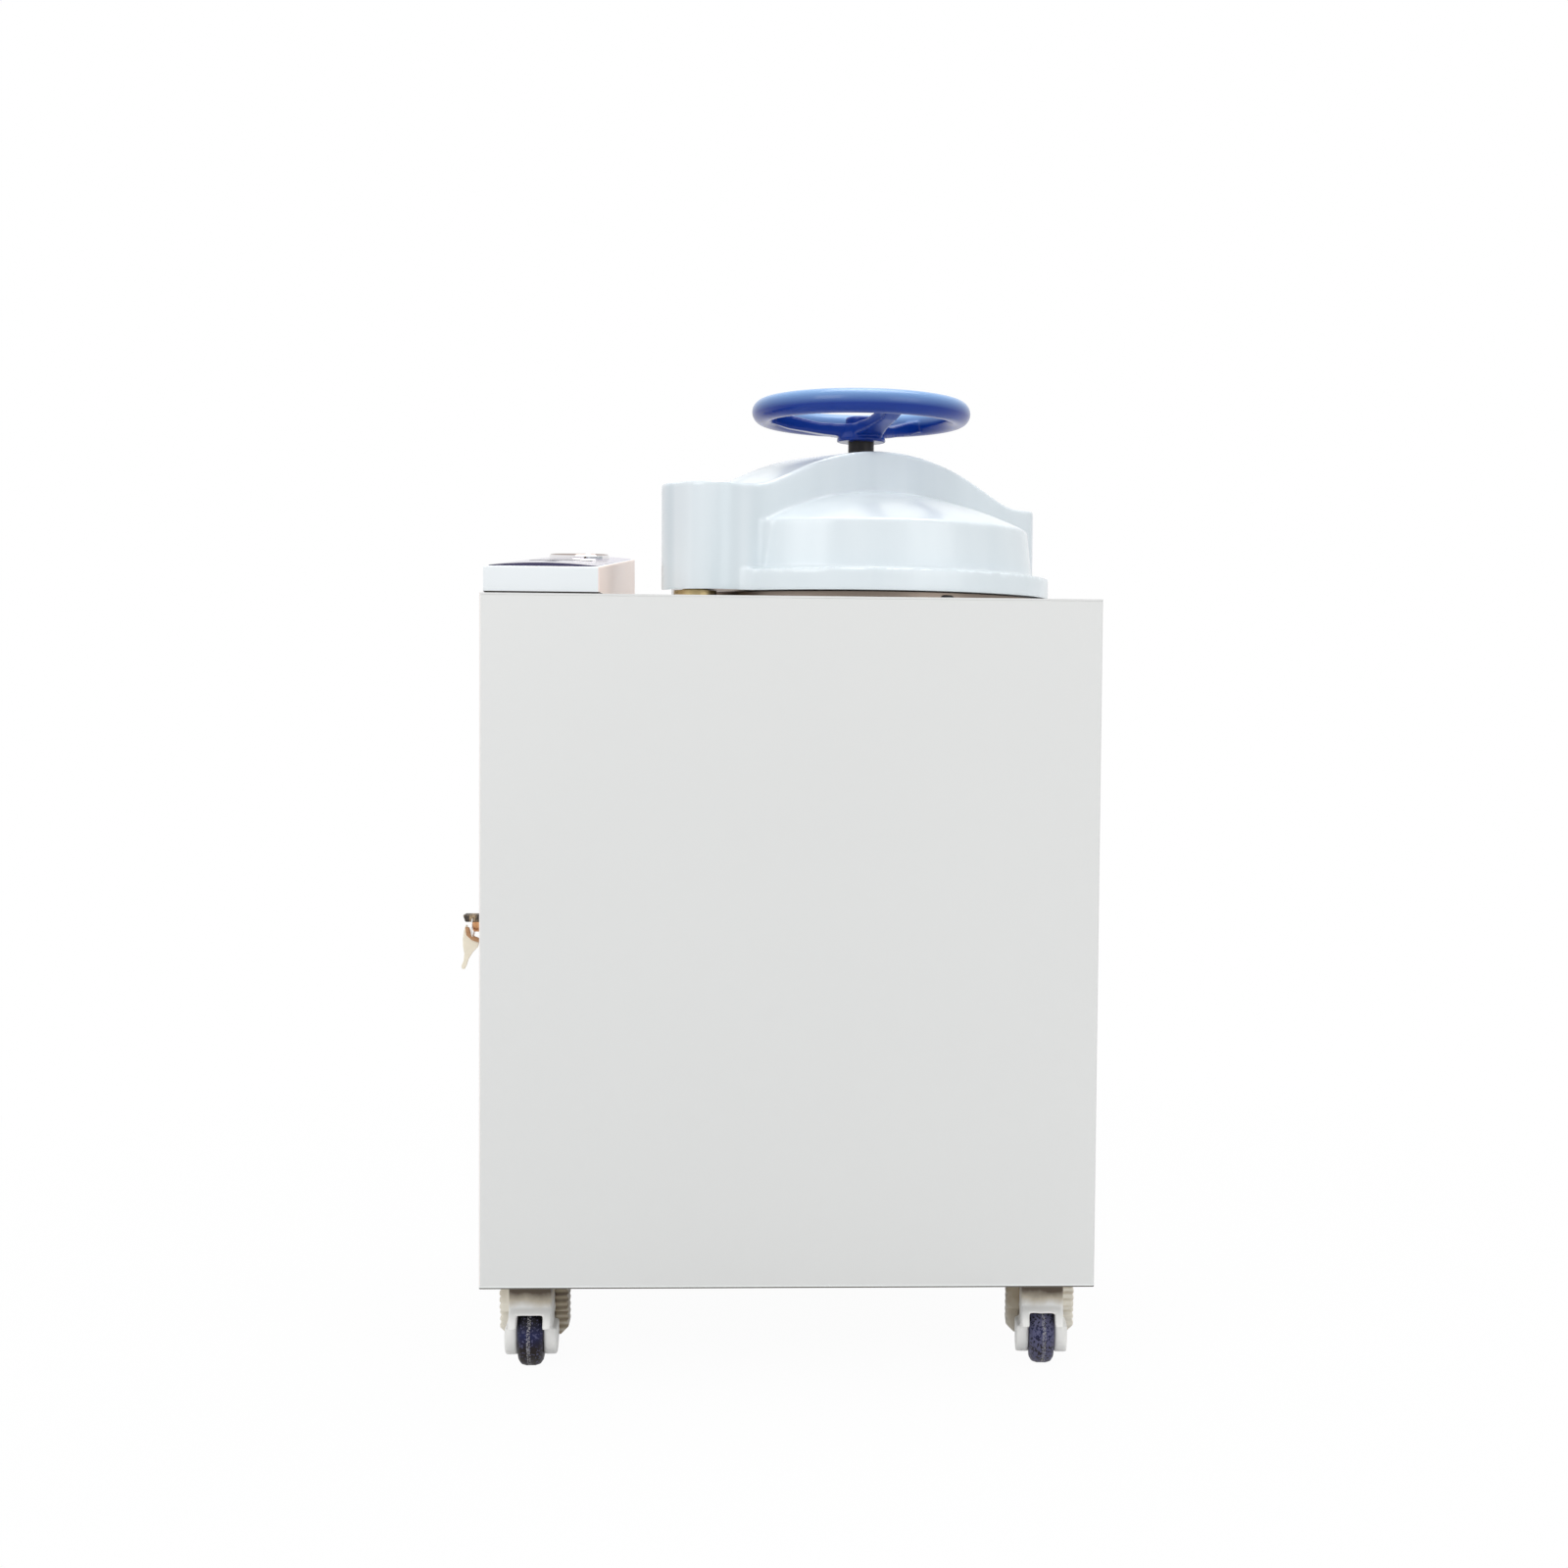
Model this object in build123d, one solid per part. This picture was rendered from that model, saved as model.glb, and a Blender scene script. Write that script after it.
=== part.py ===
from build123d import *
import os
from math import asin, cos, degrees, hypot, radians, sin, sqrt, tan

# Vertical steam autoclave on casters, 50 litre class, lid on a swinging beam.
# Working frame: X to the right, Y to the back, Z up from the floor, with the cabinet's centre on the Z axis.
# Each sub-part is moved to the finished frame as it is written: see to_finished_frame at the end.

# Fits
FIT = 0.3             # gap between neighbours on different bodies, and between loose sheets
RUN = 0.05            # radial clearance of a shaft in its bearing
SEAT = 0.1            # radial clearance of a part fixed in its hole

# Casters
CASTER_H = 94.0       # floor to the cabinet's underside
WHEEL_R = 31.5
WHEEL_W = 25.0
WHEEL_GAP = 0.9       # each side of the wheel, inside the fork
AXLE_R = 4.0
TRAIL = 25.0          # swivel axis to wheel contact
FORK_WALL = 7.4
HOOD_GAP = 3.5        # wheel to the inside of the hood
EAR_R = 20.0
EAR_W = 12.2
CASTER_IN_X = 44.0    # swivel axes, in from the cabinet's sides
CASTER_IN_Y = 85.0    # swivel axes, in from its front and back
CASTER_PLATE = 62.0
PLATE_T = 3.0
FRONT_LEFT_YAW = 2.0
FRONT_RIGHT_YAW = -4.0
FORK_OPENING = 58.0   # top of the opening in front of the wheel, over the floor
PEDAL_T = 14.0
PEDAL_PIN_R = 2.5
PEDAL_PIN_Z = 52.0

# Cabinet
CAB_W = 610.0
CAB_D = 470.0
CAB_H = 685.0
SHEET = 1.2           # panels
DECK_T = 2.0          # top plate and floor tray
BEND_R = 2.0
RETURN_D = 18.0       # folded edge of the front and rear panels
POST = 20.0
POST_WALL = 2.0
LEFT_SETBACK = 18.0   # left posts behind the door's plane, from the inside of the sheet
LIP_H = 20.0

# Service door, on the left side
DOOR_DEPTH = 15.0
DOOR_GAP = 3.0
DOOR_END_GAP = 2.0    # above the tray and below the top plate
DOOR_PIN_R = 3.0
DOOR_PIN_INSET = 8.0
LOCK_IN = 35.0        # behind the cabinet's front
LOCK_Z = 455.0
LOCK_R = 9.0
LOCK_OUT = 8.0        # how far the lock's head stands out of the door
PLUG_R = 6.0
CAM_REACH = 24.0
KEY_OUT = 18.5        # how far the inserted key's bow stands out of the door
KEY_T = 4.0
BOW_R = 8.5
SPARE_KEY_L = 38.0
SPARE_KEY_LEAN = 12.0

# Control strip on the left edge of the top
STRIP_IN = 3.5        # from the cabinet's left side
STRIP_W = 112.6
STRIP_FRONT = 3.0     # from the cabinet's front
STRIP_REAR = 13.0     # from the cabinet's back
STRIP_LEAN = 6.3      # the rear face leans forward by this at its top
STRIP_H0 = 26.3       # front height over the top plate
STRIP_H1 = 62.0       # rear height over the top plate
STRIP_WALL = 2.5
STRIP_FOOT = 1.2      # recessed foot that shows as a dark seam
OVERLAY_T = 0.8
OVERLAY_INSET = 4.0
GAUGE_IN = 94.0       # from the strip's rear end
BEZEL_R = 34.0
BEZEL_H = 7.0
GAUGE_R = 30.0
GAUGE_D = 22.0
BUTTON_R = 7.0
BUTTON_IN = 67.0      # first key from the strip's front end
BUTTON_PITCH = 25.0
BUTTON_N = 3
SCREEN_W = 66.0
SCREEN_L = 60.0
SCREEN_IN = 187.0     # from the strip's front end

# Chamber
CH_X = 72.5           # chamber axis
CH_Y = 0.0
CH_R = 170.0          # inside radius
CH_WALL = 2.5
CH_DEPTH = 550.0
DISH = 48.0           # rise of the dished floor
FLANGE_R = 196.0
FLANGE_H = 8.0
JACKET_T = 22.0
JACKET_Z0 = 300.0
JACKET_Z1 = 735.0
DECK_RING_R = 205.0
DECK_RING_T = 10.0
LUG_R = 32.0
LEG_R = 12.0
LEG_PCD_R = 135.0
HEATER_R = 100.0
HEATER_TUBE = 6.0
HEATER_Z = 24.0       # over the middle of the dished floor
HEATER_TAIL = 22.0    # legs under the floor
RACK_R = 165.0
RACK_T = 2.0
RACK_Z = 55.0         # over the middle of the dished floor
RACK_HOLE = 9.0
RACK_PITCH = 37.0     # between rings of holes
RACK_FOOT_R = 4.0
BASKET_R = 150.0
BASKET_WALL = 1.5
BASKET_H = 340.0
BAIL_WIRE = 2.5
BAIL_R = 138.0

# Lid and its swing beam, in beam coordinates: A along the beam, B across it, from the chamber axis
BEAM_TURN = 41.0      # beam direction from +X
CATCH_A = -228.0
HINGE_A = 214.0
SKIRT_GAP = 8.5       # cover over the top plate
SKIRT_R = 204.8
SKIRT_H = 23.7
DRUM_R0 = 187.0
DRUM_R1 = 181.5
DRUM_SINK = 2.0       # straight core of the drum, inside its drafted wall
SHOULDER_H = 83.0     # drum shoulder over the top plate
DOME_H = 125.7        # dome's middle over the top plate
COVER_T = 3.0
BLOCK_HALF = 48.0
BLOCK_LEFT = 255.0
BLOCK_LEFT_R = 40.0
BLOCK_RIGHT = 241.0
BLOCK_RIGHT_R = 25.0
BLOCK_H = 116.3       # flat ends of the block over the top plate
CROWN_H = 166.5       # crown of the block over the top plate
CROWN_A = 5.0         # the crown's place along the beam
CROWN_R = 330.0
HUMP_SLOPE = 22.5     # steepest slope of the block's back, in degrees
HOLLOW_R = 98.0       # hollow curve between the crown and the flat ends
BLOCK_EDGE_R = 8.0
CORNER_R = 18.0       # inside corners between drum and block
CORNER_EASE = 0.3     # opens each inside corner's arc, so that it meets the walls at an angle
BEAM_HALF = 30.0
BEAM_T = 22.0
BEAM_Z = 57.0         # underside of the beam's ends over the top plate
BEAM_CRANK = 30.0     # how much higher the beam's middle lies
PILLAR_R = 14.0
PILLAR_COLLAR_R = 17.5
HUB_R = 22.0
CATCH_COLLAR_R = 21.8
CATCH_NECK_R = 13.0
CATCH_HEAD_R = 19.0
CATCH_HEAD_H = 11.0
SLOT_HALF = 15.5
JAW_T = 6.5
STUD_R = 7.0
STUD_IN = [28.0, 36.0]  # cover studs, in from the catch and from the hinge
LID_R = 188.0
LID_RIM_T = 10.0
LID_RIM_W = 26.0
LID_SHELL = 4.0
LID_RISE = 38.0
SEAL_R = 179.0
SEAL_W = 8.0
SEAL_PROUD = 0.5
BOSS_R = 26.0
BOSS_H = 62.0         # top of the pressure lid's boss over its rim
NUT_R = 24.0
NUT_FLANGE_R = 34.0
NUT_FLANGE_T = 8.0
SPINDLE_R = 14.0

# Handwheel
WHEEL_RIM_R = 105.9
WHEEL_TUBE_R = 12.8
WHEEL_Z = 988.0       # rim's middle over the floor
WHEEL_HUB_R = 26.5
WHEEL_HUB_Z = 957.0
WHEEL_HUB_H = 19.0
SPOKE_AT = [50.0, 170.0, 290.0]
SPOKE_W0 = 30.0
SPOKE_W1 = 17.0

# Services
DRAIN_R = 8.0
DRAIN_Z = 150.0
DRAIN_IN = 50.0       # from the cabinet's left side
VALVE_IN = 100.0
VALVE_L = 40.0
VALVE_R = 15.0
LEVER_L = 60.0
SPIGOT_OUT = 30.0
SPIGOT_GROW = 1.0
STEAM_R = 6.0
STEAM_Z = 751.0
SOLENOID_IN = 127.0   # from the cabinet's left side
EXHAUST_IN = 70.0
EXHAUST_FRONT = 95.0  # from the cabinet's front
BOTTLE_W = 110.0
BOTTLE_D = 120.0
BOTTLE_H = 140.0
NECK_R = 18.0
SAFETY_R = 13.0
SAFETY_AT = 150.0     # round the chamber, from +X
GLAND_IN = 65.0       # from the cabinet's left side
GLAND_Z = 215.0
GLAND_R = 12.0
GLAND_BORE_R = 4.5
LOUVRE_W = 90.0
LOUVRE_N = 8
LOUVRE_PITCH = 18.0
LOUVRE_X = [20.0, 190.0]
LOUVRE_Z = 200.0
LOUVRE_OUT = 6.0
BOARD_W = 110.0
BOARD_H = 220.0
BOARD_Z = 350.0
BOARD_IN = 20.0       # from the cabinet's left side
BOARD_STANDOFF = 32.0
BOARD_T = 2.0
BOARD_EDGE = 8.0      # screws and cover, in from the board's edges
SHIELD_Z = 110.0      # shield over the board's foot
COMPONENTS = [(22.0, 30.0), (22.0, 30.0), (30.0, 40.0)]  # widths and heights
COMPONENT_D = 24.0
SCREW_R = 4.5
SCREW_H = 2.2

# Derived places
BOTTOM = CASTER_H
TOP = BOTTOM + CAB_H
X0, X1 = -CAB_W / 2, CAB_W / 2
Y0, Y1 = -CAB_D / 2, CAB_D / 2
IN_X0, IN_X1 = X0 + SHEET + FIT, X1 - SHEET - FIT
IN_Y0, IN_Y1 = Y0 + SHEET + FIT, Y1 - SHEET - FIT
TRAY_TOP = BOTTOM + DECK_T
PLATE_BOTTOM = TOP - DECK_T
POST_X0 = IN_X0 + LEFT_SETBACK
FLANGE_TOP = TOP + FLANGE_H
CH_FLOOR = FLANGE_TOP - CH_DEPTH
CH_OUT = CH_R + CH_WALL
COVER_Z = TOP + SKIRT_GAP
STRIP_X0 = X0 + STRIP_IN
STRIP_Y0, STRIP_Y1 = Y0 + STRIP_FRONT, Y1 - STRIP_REAR
STRIP_TOP_Y1 = STRIP_Y1 - STRIP_LEAN
STRIP_MID = STRIP_X0 + STRIP_W / 2
SLOPE = degrees(asin((STRIP_H1 - STRIP_H0) / hypot(STRIP_H1 - STRIP_H0, STRIP_TOP_Y1 - STRIP_Y0)))
GAUGE_Y = STRIP_Y1 - GAUGE_IN
BUTTON_Y = [STRIP_Y0 + BUTTON_IN + BUTTON_PITCH * i for i in range(BUTTON_N)]
SCREEN_Y = STRIP_Y0 + SCREEN_IN
CASTER_X, CASTER_Y = X1 - CASTER_IN_X, Y1 - CASTER_IN_Y
LOCK_Y = Y0 + LOCK_IN
DRAIN_X, VALVE_X, SOLENOID_X = X0 + DRAIN_IN, X0 + VALVE_IN, X0 + SOLENOID_IN
EXHAUST_X, EXHAUST_Y = X0 + EXHAUST_IN, Y0 + EXHAUST_FRONT
GLAND_X, BOARD_X = X0 + GLAND_IN, X0 + BOARD_IN


def block(x0, x1, y0, y1, z0, z1):
    return Pos((x0 + x1) / 2, (y0 + y1) / 2, (z0 + z1) / 2) * Box(x1 - x0, y1 - y0, z1 - z0)


def post(x, y, r, z0, z1):
    return Pos(x, y, (z0 + z1) / 2) * Cylinder(r, z1 - z0)


def ring(x, y, r_in, r_out, z0, z1):
    return post(x, y, r_out, z0, z1) - post(x, y, r_in, z0 - 1, z1 + 1)


def rod_x(x0, x1, y, z, r):
    return Pos((x0 + x1) / 2, y, z) * Rot(0, 90, 0) * Cylinder(r, x1 - x0)


def rod_y(x, y0, y1, z, r):
    return Pos(x, (y0 + y1) / 2, z) * Rot(90, 0, 0) * Cylinder(r, y1 - y0)


def at_beam(a, b, z=0.0):
    """A place in beam coordinates: A along the beam, B to its rear left."""
    return Pos(CH_X, CH_Y, 0) * Rot(0, 0, BEAM_TURN) * Pos(a, b, z)


def on_strip(x, y):
    """The control strip's sloping top at x, y, with Z out of the surface."""
    z = TOP + STRIP_H0 + (y - STRIP_Y0) * tan(radians(SLOPE))
    return Pos(x, y, z) * Rot(SLOPE, 0, 0)


def turned(*points):
    """A solid of revolution from an outline of (radius, height) points."""
    return revolve(make_face(Polyline(*[(r, 0, z) for r, z in points], close=True)), Axis.Z)


# Chassis and panels

def chassis():
    tray = block(IN_X0, IN_X1, IN_Y0, IN_Y1, BOTTOM, TRAY_TOP)
    for y in (IN_Y0, IN_Y1 - DECK_T):
        tray += block(POST_X0, IN_X1, y, y + DECK_T, TRAY_TOP, TRAY_TOP + LIP_H)
    for x in (POST_X0, IN_X1 - DECK_T):
        tray += block(x, x + DECK_T, IN_Y0, IN_Y1, TRAY_TOP, TRAY_TOP + LIP_H)
    rails = Part()
    for x in (POST_X0, IN_X1 - POST):
        for y in (IN_Y0, IN_Y1 - POST):
            leg = block(x, x + POST, y, y + POST, TRAY_TOP, PLATE_BOTTOM)
            inside = POST_WALL
            leg -= block(x + inside, x + POST - inside, y + inside, y + POST - inside, TRAY_TOP, PLATE_BOTTOM)
            rails += leg
    for y in (IN_Y0, IN_Y1 - POST):
        rails += block(POST_X0 + POST, IN_X1 - POST, y, y + POST_WALL, PLATE_BOTTOM - POST, PLATE_BOTTOM)
    for x in (POST_X0 + POST - POST_WALL, IN_X1 - POST_WALL):
        rails += block(x, x + POST_WALL, IN_Y0 + POST, IN_Y1 - POST, PLATE_BOTTOM - POST, PLATE_BOTTOM)
    frame = tray + rails
    frame -= post(DOOR_AXIS_X, DOOR_AXIS_Y, DOOR_PIN_R + RUN, BOTTOM - 1, TRAY_TOP + 1)
    return frame


def top_plate():
    outline = RectangleRounded(CAB_W, CAB_D, BEND_R)
    plate = Pos(0, 0, PLATE_BOTTOM) * extrude(outline, DECK_T)
    plate -= post(CH_X, CH_Y, CH_OUT + 2 * FIT, PLATE_BOTTOM - 1, TOP + 1)
    plate -= at_beam(HINGE_A, 0, TOP) * Cylinder(PILLAR_R + SEAT, 4 * DECK_T)
    plate -= at_beam(CATCH_A, 0, TOP) * Cylinder(CATCH_NECK_R + SEAT, 4 * DECK_T)
    plate -= post(DOOR_AXIS_X, DOOR_AXIS_Y, DOOR_PIN_R + RUN, PLATE_BOTTOM - 1, TOP + 1)
    plate -= block(STRIP_MID - BEZEL_R, STRIP_MID + BEZEL_R, GAUGE_Y - BEZEL_R, GAUGE_Y + BEZEL_R,
                   PLATE_BOTTOM - 1, TOP + 1)
    return plate


def channel(side):
    """Front (side -1) or rear (side 1) panel: a sheet folded back along both upright edges."""
    face = Y0 if side < 0 else Y1
    back = face - side * RETURN_D
    outer = make_face(Polyline((X0, back), (X0, face), (X1, face), (X1, back), close=True))
    inner_y = face - side * SHEET
    inner = make_face(Polyline((X0 + SHEET, back), (X0 + SHEET, inner_y), (X1 - SHEET, inner_y),
                               (X1 - SHEET, back), close=True))
    corners = [v for v in outer.vertices() if abs(v.Y - face) < 0.01]
    inner_corners = [v for v in inner.vertices() if abs(v.Y - inner_y) < 0.01]
    outline = fillet(corners, BEND_R) - fillet(inner_corners, BEND_R - SHEET)
    return Pos(0, 0, BOTTOM) * extrude(outline, PLATE_BOTTOM - BOTTOM)


def rear_panel():
    panel = channel(1)
    for x in LOUVRE_X:
        for i in range(LOUVRE_N):
            z = LOUVRE_Z + i * LOUVRE_PITCH
            half = LOUVRE_W / 2
            panel -= block(x - half, x + half, Y1 - 2 * SHEET, Y1 + SHEET, z, z + LOUVRE_PITCH * 0.4)
            scoop = make_face(Polyline((0, Y1 - SHEET / 2, z + LOUVRE_PITCH * 0.4),
                                       (0, Y1 - SHEET / 2, z + LOUVRE_PITCH * 0.6),
                                       (0, Y1 + LOUVRE_OUT, z + SHEET),
                                       (0, Y1 + LOUVRE_OUT, z), (0, Y1 + LOUVRE_OUT - SHEET, z), close=True))
            panel += Pos(x - half, 0, 0) * extrude(scoop, LOUVRE_W, dir=(1, 0, 0))
    panel -= rod_y(DRAIN_X, Y1 - 5, Y1 + 5, DRAIN_Z, DRAIN_R + SPIGOT_GROW + FIT)
    panel -= rod_y(safety_x(), Y1 - 5, Y1 + 5, STEAM_Z, STEAM_R + SPIGOT_GROW + FIT)
    panel -= rod_y(GLAND_X, Y1 - 5, Y1 + 5, GLAND_Z, GLAND_R * 0.7 + SEAT)
    return panel


def right_panel():
    gap = RETURN_D + FIT
    return block(X1 - SHEET, X1, Y0 + gap, Y1 - gap, BOTTOM, PLATE_BOTTOM)


def panel_screws():
    heads = []
    for z in (BOTTOM + 30, (BOTTOM + TOP) / 2, TOP - 30):
        for y in (IN_Y0 + RETURN_D + POST / 2, IN_Y1 - RETURN_D - POST / 2):
            heads.append(Pos(X1 + SCREW_H / 2, y, z) * Rot(0, 90, 0) * screw_head())
        for x in (POST_X0 + POST / 2, IN_X1 - POST / 2):
            heads.append(Pos(x, Y1 + SCREW_H / 2, z) * Rot(-90, 0, 0) * screw_head())
    return heads


def screw_head():
    head = Cylinder(SCREW_R, SCREW_H)
    head = fillet(head.edges().sort_by(Axis.Z)[-1], SCREW_H * 0.6)
    slot = Pos(0, 0, SCREW_H / 2) * (Box(SCREW_R, 1.0, SCREW_H) + Box(1.0, SCREW_R, SCREW_H))
    return head - slot


def deck_plate():
    """Thick plate under the top sheet that carries the hinge pillar and the catch post."""
    outline = Pos(CH_X, CH_Y) * Circle(DECK_RING_R)
    lugs = Rot(0, 0, BEAM_TURN) * (Rectangle(HINGE_A - CATCH_A, 2 * LUG_R)
                                   + Pos((HINGE_A - CATCH_A) / 2, 0) * Circle(LUG_R)
                                   + Pos(-(HINGE_A - CATCH_A) / 2, 0) * Circle(LUG_R))
    middle = (HINGE_A + CATCH_A) / 2
    lugs = Pos(CH_X + middle * cos(radians(BEAM_TURN)), CH_Y + middle * sin(radians(BEAM_TURN))) * lugs
    plate = Pos(0, 0, PLATE_BOTTOM - DECK_RING_T) * extrude(outline + lugs, DECK_RING_T)
    plate -= post(CH_X, CH_Y, CH_OUT + SEAT, PLATE_BOTTOM - 2 * DECK_RING_T, TOP)
    plate -= at_beam(HINGE_A, 0, PLATE_BOTTOM) * Cylinder(PILLAR_R + RUN, 4 * DECK_RING_T)
    plate -= at_beam(CATCH_A, 0, PLATE_BOTTOM) * Cylinder(CATCH_NECK_R + RUN, 4 * DECK_RING_T)
    return plate


# Chamber

def dish_z(r, offset=0.0):
    """Height of the dished floor at radius r, offset outwards from its inside face."""
    cap = (CH_R ** 2 + DISH ** 2) / (2 * DISH)
    return CH_FLOOR + cap - sqrt((cap + offset) ** 2 - r ** 2)


def dish_face(offset, r, top):
    """Half section of the space inside the vessel, grown outwards by offset."""
    middle = (r * 0.6, 0, dish_z(r * 0.6, offset))
    curve = ThreePointArc((0, 0, dish_z(0, offset)), middle, (r, 0, dish_z(r, offset)))
    sides = Polyline((r, 0, dish_z(r, offset)), (r, 0, top), (0, 0, top), (0, 0, dish_z(0, offset)))
    return make_face([curve, sides])


def vessel_space(offset, top):
    return Pos(CH_X, CH_Y, 0) * revolve(dish_face(offset, CH_R + offset, top), Axis.Z)


def chamber_vessel():
    vessel = vessel_space(CH_WALL, FLANGE_TOP) - vessel_space(0, FLANGE_TOP + 1)
    vessel -= post(CH_X, CH_Y, DRAIN_R - 2, CH_FLOOR - 10, CH_FLOOR + 10)
    for x in (CH_X - HEATER_R, CH_X + HEATER_R):
        vessel -= post(x, CH_Y, HEATER_TUBE + SEAT, CH_FLOOR - 20, CH_FLOOR + 40)
    return vessel


def chamber_flange():
    flange = ring(CH_X, CH_Y, CH_OUT + SEAT, FLANGE_R, TOP, FLANGE_TOP)
    return chamfer(flange.edges().filter_by(GeomType.CIRCLE).group_by(Axis.Z)[-1], 0.8)


def insulation_jacket():
    return ring(CH_X, CH_Y, CH_OUT + FIT, CH_OUT + JACKET_T, JACKET_Z0, JACKET_Z1)


def vessel_stand():
    legs = []
    cut = vessel_space(CH_WALL + SEAT, FLANGE_TOP)
    for i in range(4):
        angle = radians(45 + 90 * i)
        x, y = CH_X + LEG_PCD_R * cos(angle), CH_Y + LEG_PCD_R * sin(angle)
        leg = post(x, y, LEG_R, TRAY_TOP, CH_FLOOR + DISH) + post(x, y, 2 * LEG_R, TRAY_TOP, TRAY_TOP + 4)
        legs.append(leg - cut)
    return legs


def heater_element():
    z = CH_FLOOR + HEATER_Z
    coil = Pos(CH_X, CH_Y, z) * Torus(HEATER_R, HEATER_TUBE)
    for x in (CH_X - HEATER_R, CH_X + HEATER_R):
        coil += post(x, CH_Y, HEATER_TUBE, dish_z(HEATER_R, CH_WALL) - HEATER_TAIL, z)
    return coil


def rack_plate():
    z = CH_FLOOR + RACK_Z
    plate = post(CH_X, CH_Y, RACK_R, z, z + RACK_T)
    holes = Part()
    for row, count in enumerate((1, 6, 12, 16, 20)):
        pitch_r = row * RACK_PITCH
        for i in range(count):
            angle = radians(360.0 / count * i + count)
            x, y = CH_X + pitch_r * cos(angle), CH_Y + pitch_r * sin(angle)
            holes += post(x, y, RACK_HOLE, z - 1, z + RACK_T + 1)
    plate -= holes
    for i in range(3):
        angle = radians(90 + 120 * i)
        foot_at = LEG_PCD_R - RACK_FOOT_R
        x, y = CH_X + foot_at * cos(angle), CH_Y + foot_at * sin(angle)
        plate += post(x, y, RACK_FOOT_R, dish_z(LEG_PCD_R) + FIT, z)
    return plate


def probes():
    """Temperature and level probes, through the vessel's wall near the rear."""
    out = []
    for angle, z in ((100.0, STEAM_Z), (80.0, STEAM_Z)):
        spot = Pos(CH_X, CH_Y, z) * Rot(0, 0, angle) * Pos(CH_OUT + SEAT, 0, 0) * Rot(0, 90, 0)
        gland = spot * Pos(0, 0, 7) * Cylinder(8, 14)
        stem = spot * Pos(0, 0, 22) * Cylinder(3, 16)
        out.append(gland + stem)
    return out


def basket():
    z = CH_FLOOR + RACK_Z + RACK_T
    shell = ring(CH_X, CH_Y, BASKET_R - BASKET_WALL, BASKET_R, z, z + BASKET_H)
    for level in (0.12, 0.56):
        z0 = z + BASKET_H * level
        for i in range(6):
            slot = Box(2.2 * BASKET_R, 26, BASKET_H * 0.32)
            shell -= Pos(CH_X, CH_Y, z0 + BASKET_H * 0.16) * Rot(0, 0, 30 * i + 15) * slot
    shell += post(CH_X, CH_Y, BASKET_R, z, z + BASKET_WALL)
    shell += ring(CH_X, CH_Y, BASKET_R - 2 * BASKET_WALL, BASKET_R + 2, z + BASKET_H - 10, z + BASKET_H)
    for side in (-1, 1):
        ear = block(-2, 2, -8, 8, -6, 20)
        ear = Pos(CH_X + side * (BAIL_R + 6.2), CH_Y, z + BASKET_H) * ear
        shell += ear + Pos(CH_X + side * (BAIL_R + 8), CH_Y, z + BASKET_H - 5) * Box(8, 16, 6)
    bore = rod_x(CH_X - BASKET_R, CH_X + BASKET_R, CH_Y, bail_z(), BAIL_WIRE + RUN)
    return shell - bore


def bail_z():
    return CH_FLOOR + RACK_Z + RACK_T + BASKET_H + 12


def basket_bail():
    """Carrying bail, lying down on the basket's rim, with its ends in the two ears."""
    half = Pos(CH_X, CH_Y, bail_z()) * Torus(BAIL_R, BAIL_WIRE)
    half -= block(CH_X - 2 * BAIL_R, CH_X + 2 * BAIL_R, CH_Y, CH_Y + 2 * BAIL_R, 0, 2 * bail_z())
    ends = []
    for side in (-1, 1):
        inner, outer = CH_X + side * (BAIL_R - BAIL_WIRE), CH_X + side * (BAIL_R + 9)
        ends.append(rod_x(min(inner, outer), max(inner, outer), CH_Y, bail_z(), BAIL_WIRE))
    return half + ends[0] + ends[1]


# Lid cover

def block_top(inset):
    """Side outline of the cover's raised block, in the A-Z plane, as a closed face."""
    low = TOP + BLOCK_H - inset
    crown = TOP + CROWN_H - inset
    left, right = -(BLOCK_LEFT - inset), BLOCK_RIGHT - inset
    rise = crown - low
    crown_r, hollow_r = CROWN_R - inset, HOLLOW_R + inset
    slope = slope_for(rise, crown_r, hollow_r)
    run = hump_run(rise, crown_r, hollow_r, slope)
    up = (crown_r * sin(slope), crown - crown_r * (1 - cos(slope)))
    down = (run - hollow_r * sin(slope), low + hollow_r * (1 - cos(slope)))
    half_slope = slope / 2
    low_mid = (run - hollow_r * sin(half_slope), low + hollow_r * (1 - cos(half_slope)))
    z0 = COVER_Z - (1 if inset else 0)

    def flank(side):
        """Points up one side of the back, from the flat end to the crown."""
        places = [(run, low), low_mid, down, up]
        return [(CROWN_A + side * a, 0, z) for a, z in places]

    (foot_l, bend_l, down_l, up_l), (foot_r, bend_r, down_r, up_r) = flank(-1), flank(1)
    pieces = [
        Line((left, 0, z0), (left, 0, low)),
        Line((left, 0, low), foot_l),
        ThreePointArc(foot_l, bend_l, down_l),
        Line(down_l, up_l),
        ThreePointArc(up_l, (CROWN_A, 0, crown), up_r),
        Line(up_r, down_r),
        ThreePointArc(down_r, bend_r, foot_r),
        Line(foot_r, (right, 0, low)),
        Line((right, 0, low), (right, 0, z0)),
        Line((right, 0, z0), (left, 0, z0)),
    ]
    return make_face(pieces)


def slope_for(rise, crown_r, hollow_r):
    """The straight flank's slope, limited so that the two arcs never rise past the crown."""
    arcs = 1 - cos(radians(HUMP_SLOPE))
    if (crown_r + hollow_r) * arcs < rise:
        return radians(HUMP_SLOPE)
    return radians(degrees(sqrt(2 * rise / (crown_r + hollow_r))) * 0.98)


def hump_run(rise, crown_r, hollow_r, slope):
    arcs_rise = (crown_r + hollow_r) * (1 - cos(slope))
    return (crown_r + hollow_r) * sin(slope) + (rise - arcs_rise) / tan(slope)


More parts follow.
